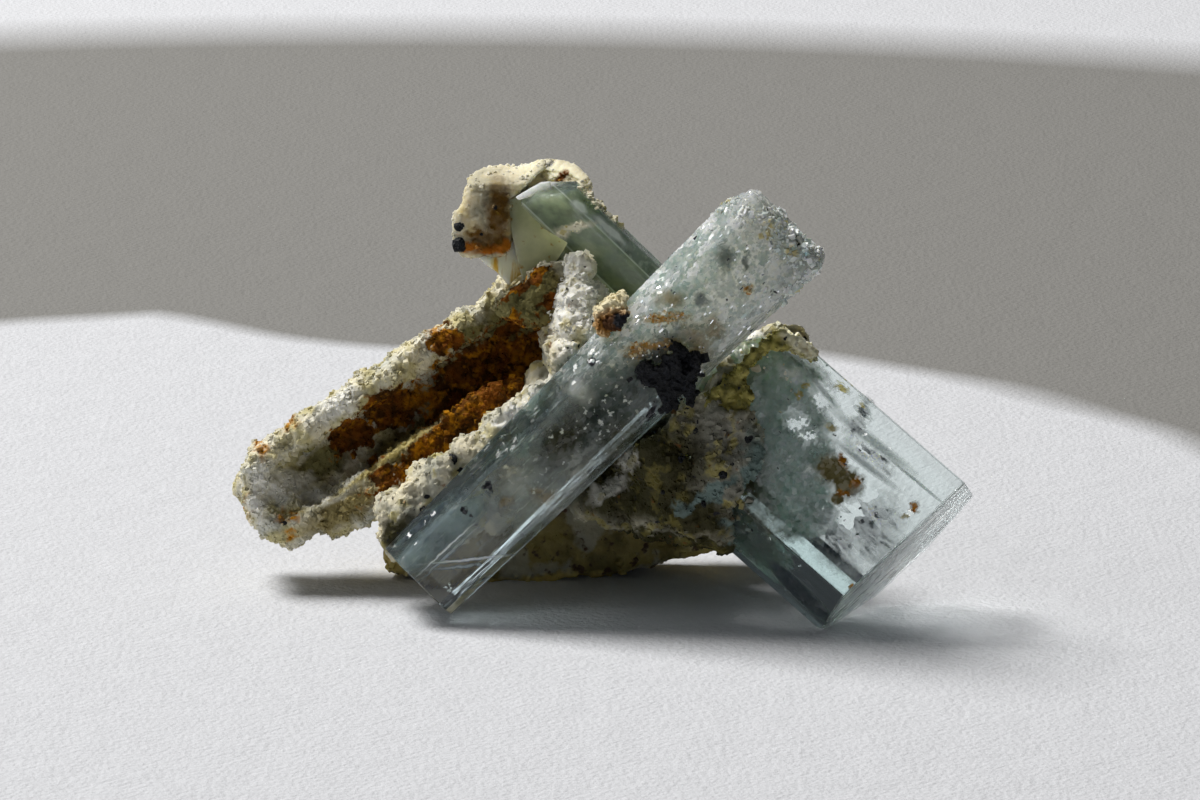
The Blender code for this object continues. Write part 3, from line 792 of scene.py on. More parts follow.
# Painted highlight: the rim over the tip, pale crust painted brighter where it catches the light.
HOOD_LIT_RIM = ((-1.7, 7.55, 1.6, 0.4, -8.0),)
HOOD_ORANGE = (
    (-3.4, 4.98, 0.75, 0.16, 8.0),
    (-4.3, 5.05, 0.3, 0.12, 0.0),
)
HOOD_LAYERS = (
    ("fractal", 1.3, 0.08, 22.0),
    ("crumb", 0.6, 0.08, 25.0),
    ("crumb", 0.22, 0.05, 26.0),
    ("fractal", 0.13, 0.04, 24.0),
)
HOOD_LOWEST = 4.85
FLAP_OUTLINE = (
    (-4.0, 5.1),
    (-2.7, 5.3),
    (-2.45, 4.25),
    (-3.02, 3.8),
    (-3.45, 4.25),
    (-4.15, 4.85),
)
FLAP_FRONT = -2.05
FLAP_DEPTH = 0.45
FLAP_LAYERS = (("fractal", 0.5, 0.05, 27.0),)
FLAP_STREAKS = ((0.66, 0.4, 0.07), 0.22, 0.45, 0.62, 3.0, 3.0, (1.0, 1.0, 0.2))


def hood_finish():
    """Cream in clouds, a painted highlight on the rim, brown and orange stains and painted shade in the
    hollows.
    """
    finish, shader = new_finish("cream_crust")
    board = board_coordinates(shader)
    ragged = frayed(board, 0.35, 0.4, 7.0)
    # Painted shade in the hollows.
    hollow_shade = ranged(relief_value(shader), -0.3, -1.0)
    uneven = ranged(cloudy(board, 0.35, 0.35, 0.6, 4.0, 9.0), 0.0, 1.0, 0.8, 1.0)
    colour = painted(
        (0.52, 0.48, 0.34),
        ((0.78, 0.7, 0.5), cloudy(board, 0.9, 0.42, 0.6, 4.0, 2.0)),
        ((0.62, 0.48, 0.16), cloudy(board, 0.7, 0.52, 0.66, 3.0, 4.0), 0.6),
        # Painted highlight on the rim.
        ((0.97, 0.88, 0.62), patches(ragged, HOOD_LIT_RIM, 0.5)),
        ((0.15, 0.07, 0.004), patches(ragged, HOOD_BROWN, 0.4), uneven),
        ((0.2, 0.06, 0.004), patches(ragged, HOOD_STAR, 0.3)),
        ((0.46, 0.15, 0.006), patches(ragged, HOOD_ORANGE, 0.4)),
        # Painted shade in the hollows.
        ((0.22, 0.15, 0.05), hollow_shade, 0.5),
    )
    surfaced(shader, colour, 0.8, 0.2, (0.8, 0.3), (0.12, 0.02))
    return finish


def stone_finish(name, roughness, soak, under, *clouds):
    """Plain stone in clouds: each a colour and what cloudy takes. Soak is weight and reach."""
    finish, shader = new_finish(name)
    board = board_coordinates(shader)
    colour = painted(under, *((paint, cloudy(board, *cloud)) for paint, *cloud in clouds))
    wired(shader, {"Base Color": colour, "Roughness": roughness})
    if soak:
        translucent(shader, *soak)
    return finish


def cut(bm, place, facing):
    """Cuts a closed mesh flat at a place and closes it, dropping what lies on the facing side."""
    geometry = [*bm.verts, *bm.edges, *bm.faces]
    plane = {"plane_co": place, "plane_no": facing, "clear_outer": True, "dist": 1e-7}
    done = bmesh.ops.bisect_plane(bm, geom=geometry, **plane)
    rim = [item for item in done["geom_cut"] if isinstance(item, bmesh.types.BMEdge)]
    bmesh.ops.edgeloop_fill(bm, edges=rim)


def hood_slope(spot):
    """The rim over the tip leans back and faces up, and the edge by the twin drops behind it."""
    move = 0.0
    if spot.y < -0.8:
        move = 1.3 * ramp(spot.z, 7.1, 0.8)
    if spot.y < -0.8 and spot.x < -1.0:
        move += 0.9 * ramp(spot.x, -3.0, 0.3) * ramp(spot.z, 6.7, -0.4)
    return move


cream_finish = hood_finish()
hood_mesh = packed_mesh("hood_crust")
cut(hood_mesh, board_point(0.0, HOOD_LOWEST, 0.0), -UP)
hood = crusted("hood_shell", hood_mesh, 0.055, 0.14, HOOD_LAYERS, cream_finish, 5)
pushed_back(hood, hood_slope)
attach(hood, "root")
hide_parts("hood_crust")
hood_grains = grains("hood_grains", hood, 7.0, 0.04, 0.12, 5, cream_finish)
flap_finish = stone_finish("cream_flap", 0.4, (1.0, 1.2), (0.98, 0.93, 0.64), FLAP_STREAKS)
flap_mesh = slab(FLAP_OUTLINE, FLAP_FRONT, FLAP_DEPTH)
flap = crusted("hood_flap", flap_mesh, 0.05, 0.0, FLAP_LAYERS, flap_finish, 2)
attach(flap, "root")

# ---------------------------------------------------------------------------------------------
# Back plate.
# A waxy olive-yellow slab under and behind the crystals, spotted with brown. Yellow is painted
# where it is thin, at its left end and along its lower edge, as a painted glow of light shining
# through it, and it carries the cluster's back.

# Painted glow: yellow where light shines through the thin left end and lower edge.
PLATE_EDGE_GLOW = (
    (-7.3, -5.5, 0.9, 0.9, 0.0),
    (4.4, -4.9, 1.5, 0.5, 15.0),
    (-0.8, -6.1, 5.0, 0.25, 3.0),
)
PLATE_LAYERS = (
    ("fractal", 1.6, 0.16, 32.0),
    ("crumb", 0.6, 0.1, 35.0),
    ("fractal", 0.22, 0.06, 34.0),
)


def plate_finish():
    """Olive in clouds with grey crust on it, a painted yellow glow along its edges and brown spots."""
    finish, shader = new_finish("olive_plate")
    board = board_coordinates(shader)
    colour = painted(
        (0.14, 0.11, 0.025),
        ((0.34, 0.27, 0.08), cloudy(board, 0.9, 0.4, 0.6, 5.0, 2.0)),
        (GREY, cloudy(board, 1.6, 0.52, 0.58, 5.0, 4.0), 0.7),
        # Painted glow along the thin edges.
        ((0.66, 0.52, 0.16), patches(frayed(board, 0.3, 0.5), PLATE_EDGE_GLOW, 0.4)),
        ((0.07, 0.032, 0.008), cloudy(board, 0.45, 0.6, 0.66, 4.0, 6.0)),
    )
    surfaced(shader, colour, 0.6, 0.5, (0.4, 0.5), (0.15, 0.03))
    return finish


waxy_finish = plate_finish()
plate = crusted("plate_slab", packed_mesh("back_plate"), 0.09, 0.03, PLATE_LAYERS, waxy_finish, 5)
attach(plate, "root")
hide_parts("back_plate")
plate_grains = grains("plate_grains", plate, 5.0, 0.05, 0.2, 17, waxy_finish)

# ---------------------------------------------------------------------------------------------
# Black tourmaline and the rust knob.
# Grains of black tourmaline fused into a ragged patch on the front of the long crystal, single
# ones grown on the crusts, and a knob of rust with a cream collar and a black core beside them.

GRAIN_LAYERS = (
    ("crumb", 0.42, 0.22, 41.0),
    ("crumb", 0.16, 0.1, 43.0),
    ("fractal", 0.1, 0.05, 44.0),
)
STUD_LAYERS = (("crumb", 0.16, 0.09, 47.0),)
MATRIX_STUDS = (
    (-4.85, -1.95, 0.13, 0.2, 20.0),
    (-4.62, -2.35, 0.18, 0.15, 0.0),
    (-5.7, -3.2, 0.09, 0.09, 0.0),
    (-5.85, -3.6, 0.09, 0.09, 0.0),
    (4.85, -1.25, 0.15, 0.15, 0.0),
    (2.65, -1.95, 0.13, 0.13, 0.0),
    (4.0, -2.45, 0.15, 0.15, 0.0),
    (3.1, -1.0, 0.1, 0.1, 0.0),
    (2.1, -3.0, 0.12, 0.1, 0.0),
    (3.4, -3.4, 0.1, 0.12, 0.0),
)
ARM_STUDS = ((-10.55, -4.12, 0.12, 0.08, 10.0),)
HOOD_STUDS = (
    (-4.62, 5.7, 0.2, 0.17, 0.0),
    (-4.64, 5.12, 0.26, 0.26, 30.0),
    (-3.45, 6.35, 0.07, 0.07, 0.0),
    (-3.9, 5.45, 0.08, 0.06, 0.0),
)
BEFORE_ALL = -15.0
KNOB_COLLAR = (0.8, 0.72, 0.48)
KNOB_ORANGE = ((0.5, 2.48, 0.75, 0.45, 0.0),)
KNOB_BROWN = ((0.5, 2.5, 0.58, 0.38, 0.0),)
KNOB_BLACK = ((0.8, 2.55, 0.36, 0.3, 0.0),)


def tourmaline_finish():
    """Near black with a coarse grain."""
    clouds = ((0.014, 0.017, 0.024), 0.2, 0.5, 0.7, 3.0, 2.0)
    finish = stone_finish("tourmaline", 0.45, None, (0.004, 0.005, 0.007), clouds)
    shader = finish.node_tree.nodes["Principled BSDF"]
    wired(shader, {"Specular IOR Level": 0.3})
    grained(shader, (cloudy(board_coordinates(shader), 0.1, 0.2, 0.8, 4.0, 2.0), 0.08))
    return finish


def studs(name, carrier, places):
    """Black grains half sunk where lines from the front meet a crust."""
    skin = faces_of(carrier)
    axes = BOARD.transposed().to_4x4()
    bm = bmesh.new()
    for x, h, rx, rh, turn in places:
        place = skin.ray_cast(board_point(x, h, BEFORE_ALL), BACK)[0]
        grain = bmesh.ops.create_icosphere(bm, subdivisions=2, radius=MM)
        turned = Matrix.Rotation(-math.radians(turn), 4, "Y")
        sizes = Matrix.Diagonal((rx, 0.5 * min(rx, rh), rh, 1.0))
        pose = Matrix.Translation(place) @ axes @ turned @ sizes
        bmesh.ops.transform(bm, matrix=pose, verts=grain["verts"])
    bm.normal_update()
    for vert in bm.verts:
        vert.co += vert.normal * (relief_at(vert.co * 1000.0, STUD_LAYERS) * MM)
    piece = put_in_scene(name, bm, black_finish)
    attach(piece, "root")


def knob_finish():
    """Cream collar round orange, brown and a black core."""
    finish, shader = new_finish("rust")
    ragged = frayed(board_coordinates(shader), 0.22, 0.2)
    colour = painted(
        KNOB_COLLAR,
        (ORANGE, patches(ragged, KNOB_ORANGE, 0.3)),
        ((0.09, 0.032, 0.004), patches(ragged, KNOB_BROWN, 0.3)),
        (BLACK, patches(ragged, KNOB_BLACK, 0.2)),
    )
    wired(shader, {"Base Color": colour, "Roughness": 0.9})
    return finish


black_finish = tourmaline_finish()
patch_mesh = packed_mesh("black_tourmaline")
tourmaline = crusted("tourmaline_grains", patch_mesh, 0.037, -0.02, GRAIN_LAYERS, black_finish, 2)
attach(tourmaline, "root")
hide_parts("black_tourmaline")
studs("matrix_tourmaline", matrix, MATRIX_STUDS)
studs("arm_tourmaline", arm, ARM_STUDS)
studs("hood_tourmaline", hood, HOOD_STUDS)

rust_finish = knob_finish()
knob = crusted("knob_rust", packed_mesh("rust_knob"), 0.04, 0.12, GRAIN_LAYERS, rust_finish, 2)
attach(knob, "root")
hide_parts("rust_knob")
knob_grains = grains("knob_grains", knob, 60.0, 0.05, 0.15, 45, rust_finish)

# ---------------------------------------------------------------------------------------------
# Long crystal.
# A six-sided beryl prism, clear at its foot and ever more fractured towards its broken head.
# Its skin is etched and frosted, with crumbs of crust, brown and orange stains and glints.


def crystal(foot, head):
    """Start of a crystal, its directions along, across and to the front, and its length."""
    start = board_point(*foot)
    along = board_point(*head) - start
    length = along.length
    along.normalize()
    front = (-BACK - along * (-BACK).dot(along)).normalized()
    return SimpleNamespace(start=start, along=along, across=front.cross(along), front=front, length=length)


LONG = crystal((-5.99, -6.15, -2.2), (6.02, 5.61, -5.67))
CLEAR = (0.97, 0.99, 0.985)
BERYL_IOR = 1.575
CRYSTAL_EDGE = 0.03
FLAT_ANGLE = math.radians(1.5)
SHARP_ANGLE = math.radians(12.0)
LONG_ORANGE = (
    (2.11, 2.66, 0.67, 0.13, 5.0),
    (1.62, 1.75, 0.73, 0.15, 10.0),
    (1.14, 1.56, 0.27, 0.17, 0.0),
    (4.79, 3.56, 0.13, 0.13, 0.0),
)
LONG_BROWN = (
    (-1.7, -3.2, 0.43, 0.2, 10.0),
    (-3.1, -3.33, 0.33, 0.17, 30.0),
    (3.24, 1.78, 0.47, 0.73, 30.0),
    (3.72, 2.27, 0.33, 0.47, 20.0),
    (4.21, 1.13, 0.53, 0.27, 42.0),
    (-2.09, -3.0, 0.27, 0.17, 0.0),
    (2.27, 3.24, 0.4, 0.27, 0.0),
)
LONG_OLIVE = (
    (0.65, -1.3, 1.0, 0.47, 45.0),
    (-1.3, -1.3, 0.87, 0.53, 40.0),
    (-0.65, -2.28, 0.67, 0.3, 40.0),
)
LONG_DEEP = (
    (0.3, -0.3, 2.6, 0.85, 45.0),
    (-1.0, -1.6, 1.5, 0.65, 42.0),
    (1.9, 1.6, 1.0, 0.45, 42.0),
)
LONG_WHITE = (
    (-1.31, -3.26, 1.67, 0.87, 40.0),
    (-2.61, -2.78, 0.87, 0.6, 42.0),
    (5.16, 5.74, 1.13, 0.87, -30.0),
    (6.13, 4.2, 0.73, 1.0, -40.0),
    (4.21, 3.56, 0.73, 0.53, 42.0),
    (4.69, 2.27, 0.93, 0.47, 42.0),
    (2.92, -0.32, 0.47, 0.33, 42.0),
    (-0.9, -2.05, 0.9, 0.1, 42.0),
    (1.62, 3.08, 0.87, 0.27, 42.0),
    (-0.69, 0.36, 0.33, 0.5, 40.0),
)
LONG_DARK = (
    (4.04, 4.69, 0.27, 0.47, 0.0),
    (4.69, 4.46, 0.13, 0.27, 0.0),
    (3.24, 3.24, 0.27, 0.2, 0.0),
    (5.68, 5.87, 0.2, 0.13, 0.0),
)
LONG_SPECKS = (
    (-4.42, -3.6, 0.11, 0.09, 0.0),
    (-4.19, -3.86, 0.1, 0.09, 0.0),
    (-3.66, -2.81, 0.15, 0.11, 0.0),
    (-0.07, -0.49, 0.07, 0.07, 0.0),
    (6.36, 4.97, 0.07, 0.07, 0.0),
    (5.65, 3.55, 0.07, 0.07, 0.0),
    (5.98, 2.91, 0.1, 0.07, 0.0),
    (5.25, 0.91, 0.08, 0.08, 0.0),
    (3.25, -0.97, 0.07, 0.07, 0.0),
    (1.69, -0.49, 0.11, 0.3, -15.0),
    (6.29, 5.32, 0.07, 0.07, 0.0),
    (2.83, -0.42, 0.1, 0.1, 0.0),
)
# Painted reflection: a blue-grey sheen of the sky on the faces by the foot.
LONG_SHEEN = ((-5.28, -4.45, 2.05, 0.5, 40.0),)
# Painted reflection: a dark strip on the narrow face by the foot.
LONG_DARK_REFLECTION = ((-5.8, -4.03, 1.25, 0.12, 41.0),)
# Painted highlights: bright lines along ridges by the foot and one on the head.
LONG_HIGHLIGHT_LINES = (
    (-5.0, -4.85, 1.2, 0.04, 43.0),
    (-4.19, -5.22, 1.3, 0.05, 6.0),
    (1.25, 4.1, 1.2, 0.04, 41.0),
)
LONG_YELLOW = ((4.74, 1.31, 1.8, 0.08, 41.0),)
LONG_RING = ((-0.26, 1.25, 0.15, 0.15, 0.0),)
LONG_PUPIL = ((-0.24, 1.27, 0.07, 0.07, 0.0),)
LONG_CLOUD = (
    (5.0, 4.1, 1.3, 2.2, -20.0),
    (3.6, 2.6, 1.6, 1.0, 42.0),
    (2.3, 1.9, 1.0, 0.5, 42.0),
)
LONG_LAYERS = (
    ("crumb", 0.45, 0.1, 51.0),
    ("crumb", 0.2, 0.07, 55.0),
    ("fractal", 0.12, 0.03, 54.0),
)
PATCH_DEPTH = -5.72
RUBBLE = (
    (6.2, 5.2, 1.4, 0.7, -45.0),
    (6.6, 3.9, 0.4, 1.1, -35.0),
    (4.3, 6.2, 0.9, 0.35, -30.0),
)
SATELLITES = (
    (2.2, 0.95, 1.4, 0.9, 30.0),
    (2.9, -0.3, 0.8, 0.5, 30.0),
)
RUBBLE_PALE = ((0.95, 0.96, 0.92), 0.35, 0.4, 0.6, 3.0, 2.0)
RUBBLE_TAN = ((0.66, 0.58, 0.28), 0.7, 0.6, 0.66, 3.0, 5.0)
AMBER_STAIN = ((0.44, 0.2, 0.02), 0.2, 0.45, 0.55, 3.0, 2.0)
GLINT_SIZE = 0.13
GLINT_THICKNESS = 0.03
BESIDE_CRYSTAL = 6.0


def crystal_coordinates(shader, prism):
    """Across, to the front and along a crystal, in millimetres from its foot."""
    return placed(shader, prism.start, (prism.across, prism.front, prism.along))


def part_of(coords, axis):
    """One coordinate by itself, X, Y or Z."""
    return added(coords.id_data, "ShaderNodeSeparateXYZ", {0: coords}).outputs[axis]


def mosaic(coords, size, seed=0.0, stretch=(1.0, 1.0, 1.0)):
    """Angular cells with a random colour for each."""
    where = mapped(coords, [s / size for s in stretch], (seed, -seed, 2.0 * seed))
    return added(coords.id_data, "ShaderNodeTexVoronoi", {"Vector": where, "Scale": 1.0}).outputs["Color"]


def faceted(shader, cells, amount):
    """Tips each cell's surface its own way, so that some of the cells catch the light."""
    normal = added(shader.id_data, "ShaderNodeNewGeometry").outputs["Normal"]
    tipped = vectors("ADD", shaken(cells, amount), normal)["Vector"]
    wired(shader, {"Normal": vectors("NORMALIZE", tipped)["Vector"]})


def beryl(name, prism, tint, density, roughness):
    """Clear glass-like stone with fine growth lines along the prism."""
    finish, shader = new_finish(name)
    coords = crystal_coordinates(shader, prism)
    rough = ranged(cloudy(coords, 0.9, 0.45, 0.65, 4.0, 5.0), 0.0, 1.0, *roughness)
    wired(shader, {"Base Color": (*CLEAR, 1.0), "Roughness": rough})
    wired(shader, {"Transmission Weight": 1.0, "IOR": BERYL_IOR})
    grained(shader, (cloudy(coords, 0.3, 0.3, 0.7, 3.0, 3.0, (1.0, 1.0, 0.05)), 0.006))
    absorb = {"Color": (*tint, 1.0), "Density": density}
    absorb = added(shader.id_data, "ShaderNodeVolumeAbsorption", absorb).outputs["Volume"]
    wired(finish.node_tree.nodes["Material Output"], {"Volume": absorb})
    return finish


def bevelled(bm, edges, width):
    """Rounds edges of a mesh by a width in millimetres."""
    bmesh.ops.bevel(bm, geom=edges, offset=width * MM, affect="EDGES", segments=2, profile=0.5, material=-1)


def crisp(name, node_name, finish):
    """Sharp copy of a packed crystal with fine rounded edges."""
    bm = packed_mesh(node_name)
    bmesh.ops.dissolve_limit(bm, angle_limit=FLAT_ANGLE, verts=bm.verts, edges=bm.edges)
    between = [edge for edge in bm.edges if len(edge.link_faces) == 2]
    sharp = [edge for edge in between if edge.calc_face_angle() > SHARP_ANGLE]
    bevelled(bm, sharp, CRYSTAL_EDGE)
    piece = put_in_scene(name, bm, finish)
    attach(piece, "root")
    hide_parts(node_name)
    return piece


def stained(colour, cover, side, *stains):
    """Colour and cover under stains and painted light and shade: ellipses, colour, strength, softness and
    coordinates.
    """
    for places, paint, strength, soft, where in stains:
        mask = times(patches(where, places, soft), strength)
        if side:
            mask = times(mask, side)
        colour = laid_over(colour, paint, mask)
        cover = most(cover, mask)
    return colour, cover


def long_skin_finish():
    """Dark and clear below, a bright mosaic above, with clouds, stains, crumbs, and a painted sheen, dark
    reflection and highlight lines.
    """
    finish, shader = new_finish("long_crystal_skin")
    board = board_coordinates(shader)
    coords = crystal_coordinates(shader, LONG)
    ragged = frayed(board, 0.35, 0.35, 3.0)
    close = frayed(board, 0.06, 0.25, 3.0)
    freckled = frayed(board, 0.35, 0.14, 8.0)
    along = part_of(frayed(coords, 0.9, 0.8, 2.0), "Z")
    milk = ranged(along, 3.6, 5.2)
    broken = ranged(along, 7.5, 11.5)
    jagged = frayed(coords, 0.16, 0.2, 5.0)
    cells = mosaic(jagged, 0.3, 4.0, (1.0, 1.0, 0.6))
    bits = mosaic(jagged, 0.11, 9.0, (1.0, 1.0, 0.6))
    chance = times(part_of(cells, "X"), part_of(bits, "X"))
    fine = cloudy(coords, 0.16, 0.42, 0.6, 4.0, 2.0)
    blotch = cloudy(coords, 0.9, 0.4, 0.62, 4.0, 6.0, (1.0, 1.0, 0.7))
    streaks = cloudy(coords, 0.1, 0.6, 0.68, 3.0, 4.0, (1.0, 1.0, 0.15))
    cloud = patches(frayed(board, 0.8, 0.7, 6.0), LONG_CLOUD, 0.5)
    cloud = times(cloud, ranged(fine, 0.0, 1.0, 0.35, 1.0))
    crumbs = times(cloudy(coords, 0.2, 0.62, 0.68, 4.0, 9.0), milk)
    lower = laid_over((0.045, 0.075, 0.06), (0.2, 0.29, 0.26), blotch)
    lower = laid_over(lower, (0.55, 0.62, 0.58), streaks, 0.6)
    upper = laid_over((0.42, 0.57, 0.52), (0.9, 0.97, 0.94), ranged(chance, 0.05, 0.5))
    upper = laid_over(upper, (0.84, 0.87, 0.82), fine, 0.5)
    colour = laid_over(lower, upper, broken)
    colour = laid_over(colour, (0.88, 0.9, 0.84), cloud, 0.75)
    lower_cover = times(streaks, 0.3)
    lower_cover = arithmetic("ADD", ranged(blotch, 0.0, 1.0, 0.08, 0.42), lower_cover)
    upper_cover = ranged(chance, 0.0, 0.5, 0.5, 0.85)
    cover = times(lower_cover, arithmetic("SUBTRACT", 1.0, broken))
    cover = arithmetic("ADD", cover, times(upper_cover, broken))
    cover = most(cover, times(cloud, 0.9))
    cover = times(cover, milk)
    colour, cover = stained(
        colour,
        cover,
        None,
        # Painted reflection: the blue-grey sheen by the foot.
        (LONG_SHEEN, (0.22, 0.29, 0.34), 0.6, 0.25, close),
        # Painted reflection: the dark strip by the foot.
        (LONG_DARK_REFLECTION, (0.04, 0.055, 0.075), 0.85, 0.2, close),
        # Painted highlights along the ridges.
        (LONG_HIGHLIGHT_LINES, (0.8, 0.86, 0.88), 0.9, 0.5, close),
        (LONG_DEEP, (0.022, 0.032, 0.02), 0.85, 0.6, ragged),
        (LONG_OLIVE, (0.05, 0.045, 0.012), 0.8, 0.5, ragged),
        (LONG_WHITE, (0.74, 0.77, 0.72), 0.55, 0.6, ragged),
        (LONG_BROWN, (0.24, 0.17, 0.06), 0.75, 0.5, ragged),
        (LONG_DARK, (0.04, 0.07, 0.06), 0.75, 0.4, ragged),
        (LONG_ORANGE, (0.42, 0.25, 0.04), 0.95, 0.6, freckled),
        (LONG_YELLOW, (0.36, 0.31, 0.05), 0.9, 0.4, close),
        (LONG_RING, BLACK, 1.0, 0.15, close),
        (LONG_PUPIL, (0.5, 0.56, 0.55), 1.0, 0.2, close),
        (LONG_SPECKS, BLACK, 1.0, 0.2, ragged),
    )
    colour = laid_over(colour, (0.66, 0.7, 0.64), crumbs)
    cover = most(cover, times(crumbs, 0.28))
    wired(shader, {"Base Color": colour, "Alpha": cover, "Roughness": 0.22})
    translucent(shader, 1.0, 4.5)
    faceted(shader, bits, 0.6)
    return finish


def how_far_along(prism, place):
    """Millimetres from the foot of a crystal to a place, along the crystal."""
    return (place - prism.start).dot(prism.along) * 1000.0


def long_strength(place):
    """Etching grows from nothing at the foot to full at the head."""
    t = how_far_along(LONG, place)
    return 0.25 * ramp(t, 5.0, 3.0) + 0.75 * ramp(t, 14.0, 2.5)


def patch_drop(spot):
    """How far the crystal's faces fall away behind the black patch."""
    place = long_faces.find_nearest(board_point(spot.x, spot.z, PATCH_DEPTH))[0]
    depth = (place - BOARD_ORIGIN).dot(BACK) * 1000.0
    return min(1.0, max(0.0, depth - PATCH_DEPTH) + 0.12)


def glints(name, carrier, glass, prism, low, high, count, seed, finish):
    """Small flat flakes laid along a crystal where a line from its side meets its skin."""
    dice = np.random.default_rng(seed)
    skin = faces_of(carrier)
    surface = faces_of(glass)
    bm = bmesh.new()
    for _ in range(count):
        turn = dice.uniform(0.0, 2.0 * math.pi)
        side = prism.across * math.cos(turn) + prism.front * math.sin(turn)
        middle = prism.start + prism.along * (dice.uniform(low, high) * MM)
        place, normal = skin.ray_cast(middle + side * BESIDE_CRYSTAL * MM, -side)[:2]
        size = dice.uniform(0.35, 1.0) * GLINT_SIZE
        shape = (size * dice.uniform(0.3, 0.6), size * dice.uniform(0.6, 1.6), GLINT_THICKNESS)
        tilts = dice.normal(0.0, 0.45, 2)
        if place is None or surface.find_nearest(place, NEAR_GLASS)[0] is None:
            continue
        flat = prism.along - normal * prism.along.dot(normal)
        right = flat.cross(normal).normalized()
        turned = Matrix((right, flat.normalized(), normal)).transposed()
        lean = Euler((tilts[0], tilts[1], 0.0)).to_matrix()
        pose = Matrix.Translation(place) @ (turned @ lean).to_4x4() @ Matrix.Diagonal((*shape, 1.0))
        cube = bmesh.ops.create_cube(bm, size=MM)
        bmesh.ops.transform(bm, matrix=pose, verts=cube["verts"])
    piece = put_in_scene(name, bm, finish)
    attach(piece, "root")
    return piece


long_glass = beryl("aquamarine", LONG, (0.45, 0.8, 0.84), 90.0, (0.02, 0.1))
long_crystal = crisp("long_crystal", "front_crystal", long_glass)
long_finish = long_skin_finish()
long_mesh = packed_mesh("front_crystal")
long_skin = crusted("long_crystal_skin", long_mesh, 0.07, 0.02, LONG_LAYERS, long_finish, 1, long_strength)
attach(long_skin, "root")
long_faces = faces_of(long_crystal)
pushed_back(tourmaline, patch_drop)

# Frosty crumbs of broken beryl and feldspar, and others that are stained orange and tan.
rubble_finish = stone_finish("head_rubble", 0.3, (0.5, 0.12), (0.66, 0.76, 0.72), RUBBLE_PALE, RUBBLE_TAN)
rubble = grains("head_rubble", long_skin, 32.0, 0.05, 0.2, 21, rubble_finish, RUBBLE)
amber_finish = stone_finish("amber_crumbs", 0.7, None, (0.7, 0.6, 0.36), AMBER_STAIN)
amber_crumbs = grains("amber_crumbs", long_skin, 45.0, 0.05, 0.16, 27, amber_finish, LONG_ORANGE)
black_bits = grains("tourmaline_bits", long_skin, 9.0, 0.05, 0.26, 25, black_finish, SATELLITES)

# Tiny mirror-bright fracture faces.
glint, glint_shader = new_finish("fracture_glint")
wired(glint_shader, {"Base Color": (0.95, 0.98, 1.0, 1.0), "Metallic": 1.0, "Roughness": 0.12})
long_glints = glints("long_crystal_glints", long_skin, long_crystal, LONG, 10.5, 16.8, 300, 7, glint)

# ---------------------------------------------------------------------------------------------
# Thick crystal.
# The clearest of the three, held to the long one by a seam of olive crust grown between them.
# Its upper end is etched and cloudy, fracture veils cross its middle beside an orange-brown
# stain, and its flat end has fine growth steps.

THICK = crystal((2.98, 0.66, -1.17), (9.74, -5.29, -3.03))
THICK_SECTION = (
    (-3.37, 0.33),
    (-2.04, 2.27),
    (3.36, 1.88),
    (3.32, -1.3),
    (1.0, -2.45),
    (-1.2, -2.3),
)
THICK_SKEW = 0.085
THICK_REACH = 9.196
THICK_CLEAR = 2.0
THICK_EDGE = 0.04
THICK_SHARP_ANGLE = math.radians(8.0)
THICK_OVERLENGTH = 1.0 * MM
END_THICKNESS = 0.03 * MM
END_SHIFT = 0.045 * MM
THICK_FROST = (
    (5.56, -0.65, 2.0, 2.33, -40.0),
    (6.33, -2.41, 1.5, 1.6, -35.0),
    (4.74, -2.29, 1.0, 2.0, 10.0),
    (6.97, -3.81, 0.9, 0.75, -20.0),
    (5.55, -3.16, 1.9, 1.2, -30.0),
    (5.9, 0.9, 1.5, 0.8, -38.0),
    (4.0, 0.9, 1.4, 1.4, 0.0),
)
THICK_VEINS = (
    (7.3, 0.3, 0.9, 0.1, -50.0),
    (8.9, -1.35, 1.5, 0.16, -38.0),
    (10.2, -2.55, 1.3, 0.05, -40.0),
    (8.6, -2.05, 1.2, 0.12, -38.0),
)
# Painted shade on the front near the long crystal.
THICK_PAINTED_SHADE = (
    (4.5, -2.6, 0.9, 1.8, 10.0),
    (5.2, -4.2, 1.3, 0.6, -40.0),
)
THICK_FACET = ((5.22, -4.73, 1.13, 0.47, -42.0),)
THICK_WINDOWS = (
    (6.6, -0.95, 0.5, 0.34, -20.0),
    (7.15, -1.6, 0.3, 0.15, 40.0),
    (7.4, -0.1, 0.35, 0.55, 20.0),
)
THICK_WHITE = (
    (6.2, 0.9, 0.4, 0.22, -30.0),
    (6.79, -2.28, 0.2, 0.12, 30.0),
    (6.21, -1.96, 0.1, 0.07, 0.0),
)
THICK_VEIL = (
    (8.85, -4.2, 0.95, 1.1, 20.0),
    (7.75, -4.6, 0.7, 0.7, -25.0),
    (8.8, -1.79, 0.87, 0.2, -35.0),
    (8.48, -0.65, 0.25, 0.8, -30.0),
)
THICK_STAIN = (
    (7.55, -2.25, 0.55, 0.5, -35.0),
    (8.05, -2.7, 0.6, 0.5, -45.0),
    (7.75, -3.2, 0.25, 0.25, 60.0),
)
THICK_RUST = (
    (8.38, -2.7, 0.16, 0.22, -30.0),
    (7.95, -3.02, 0.22, 0.12, 10.0),
    (7.95, -2.0, 0.12, 0.28, 20.0),
    (10.25, -3.48, 0.14, 0.18, 0.0),
    (8.15, -6.05, 0.12, 0.07, 0.0),
)
THICK_YELLOW = (
    (8.6, -0.33, 0.12, 0.25, 0.0),
    (7.55, -0.9, 0.2, 0.12, -30.0),
    (9.9, -3.8, 0.14, 0.1, 20.0),
    (6.75, 0.5, 0.13, 0.1, 0.0),
    (7.95, 0.35, 0.25, 0.12, -35.0),
    (6.5, 0.16, 0.1, 0.14, 0.0),
)
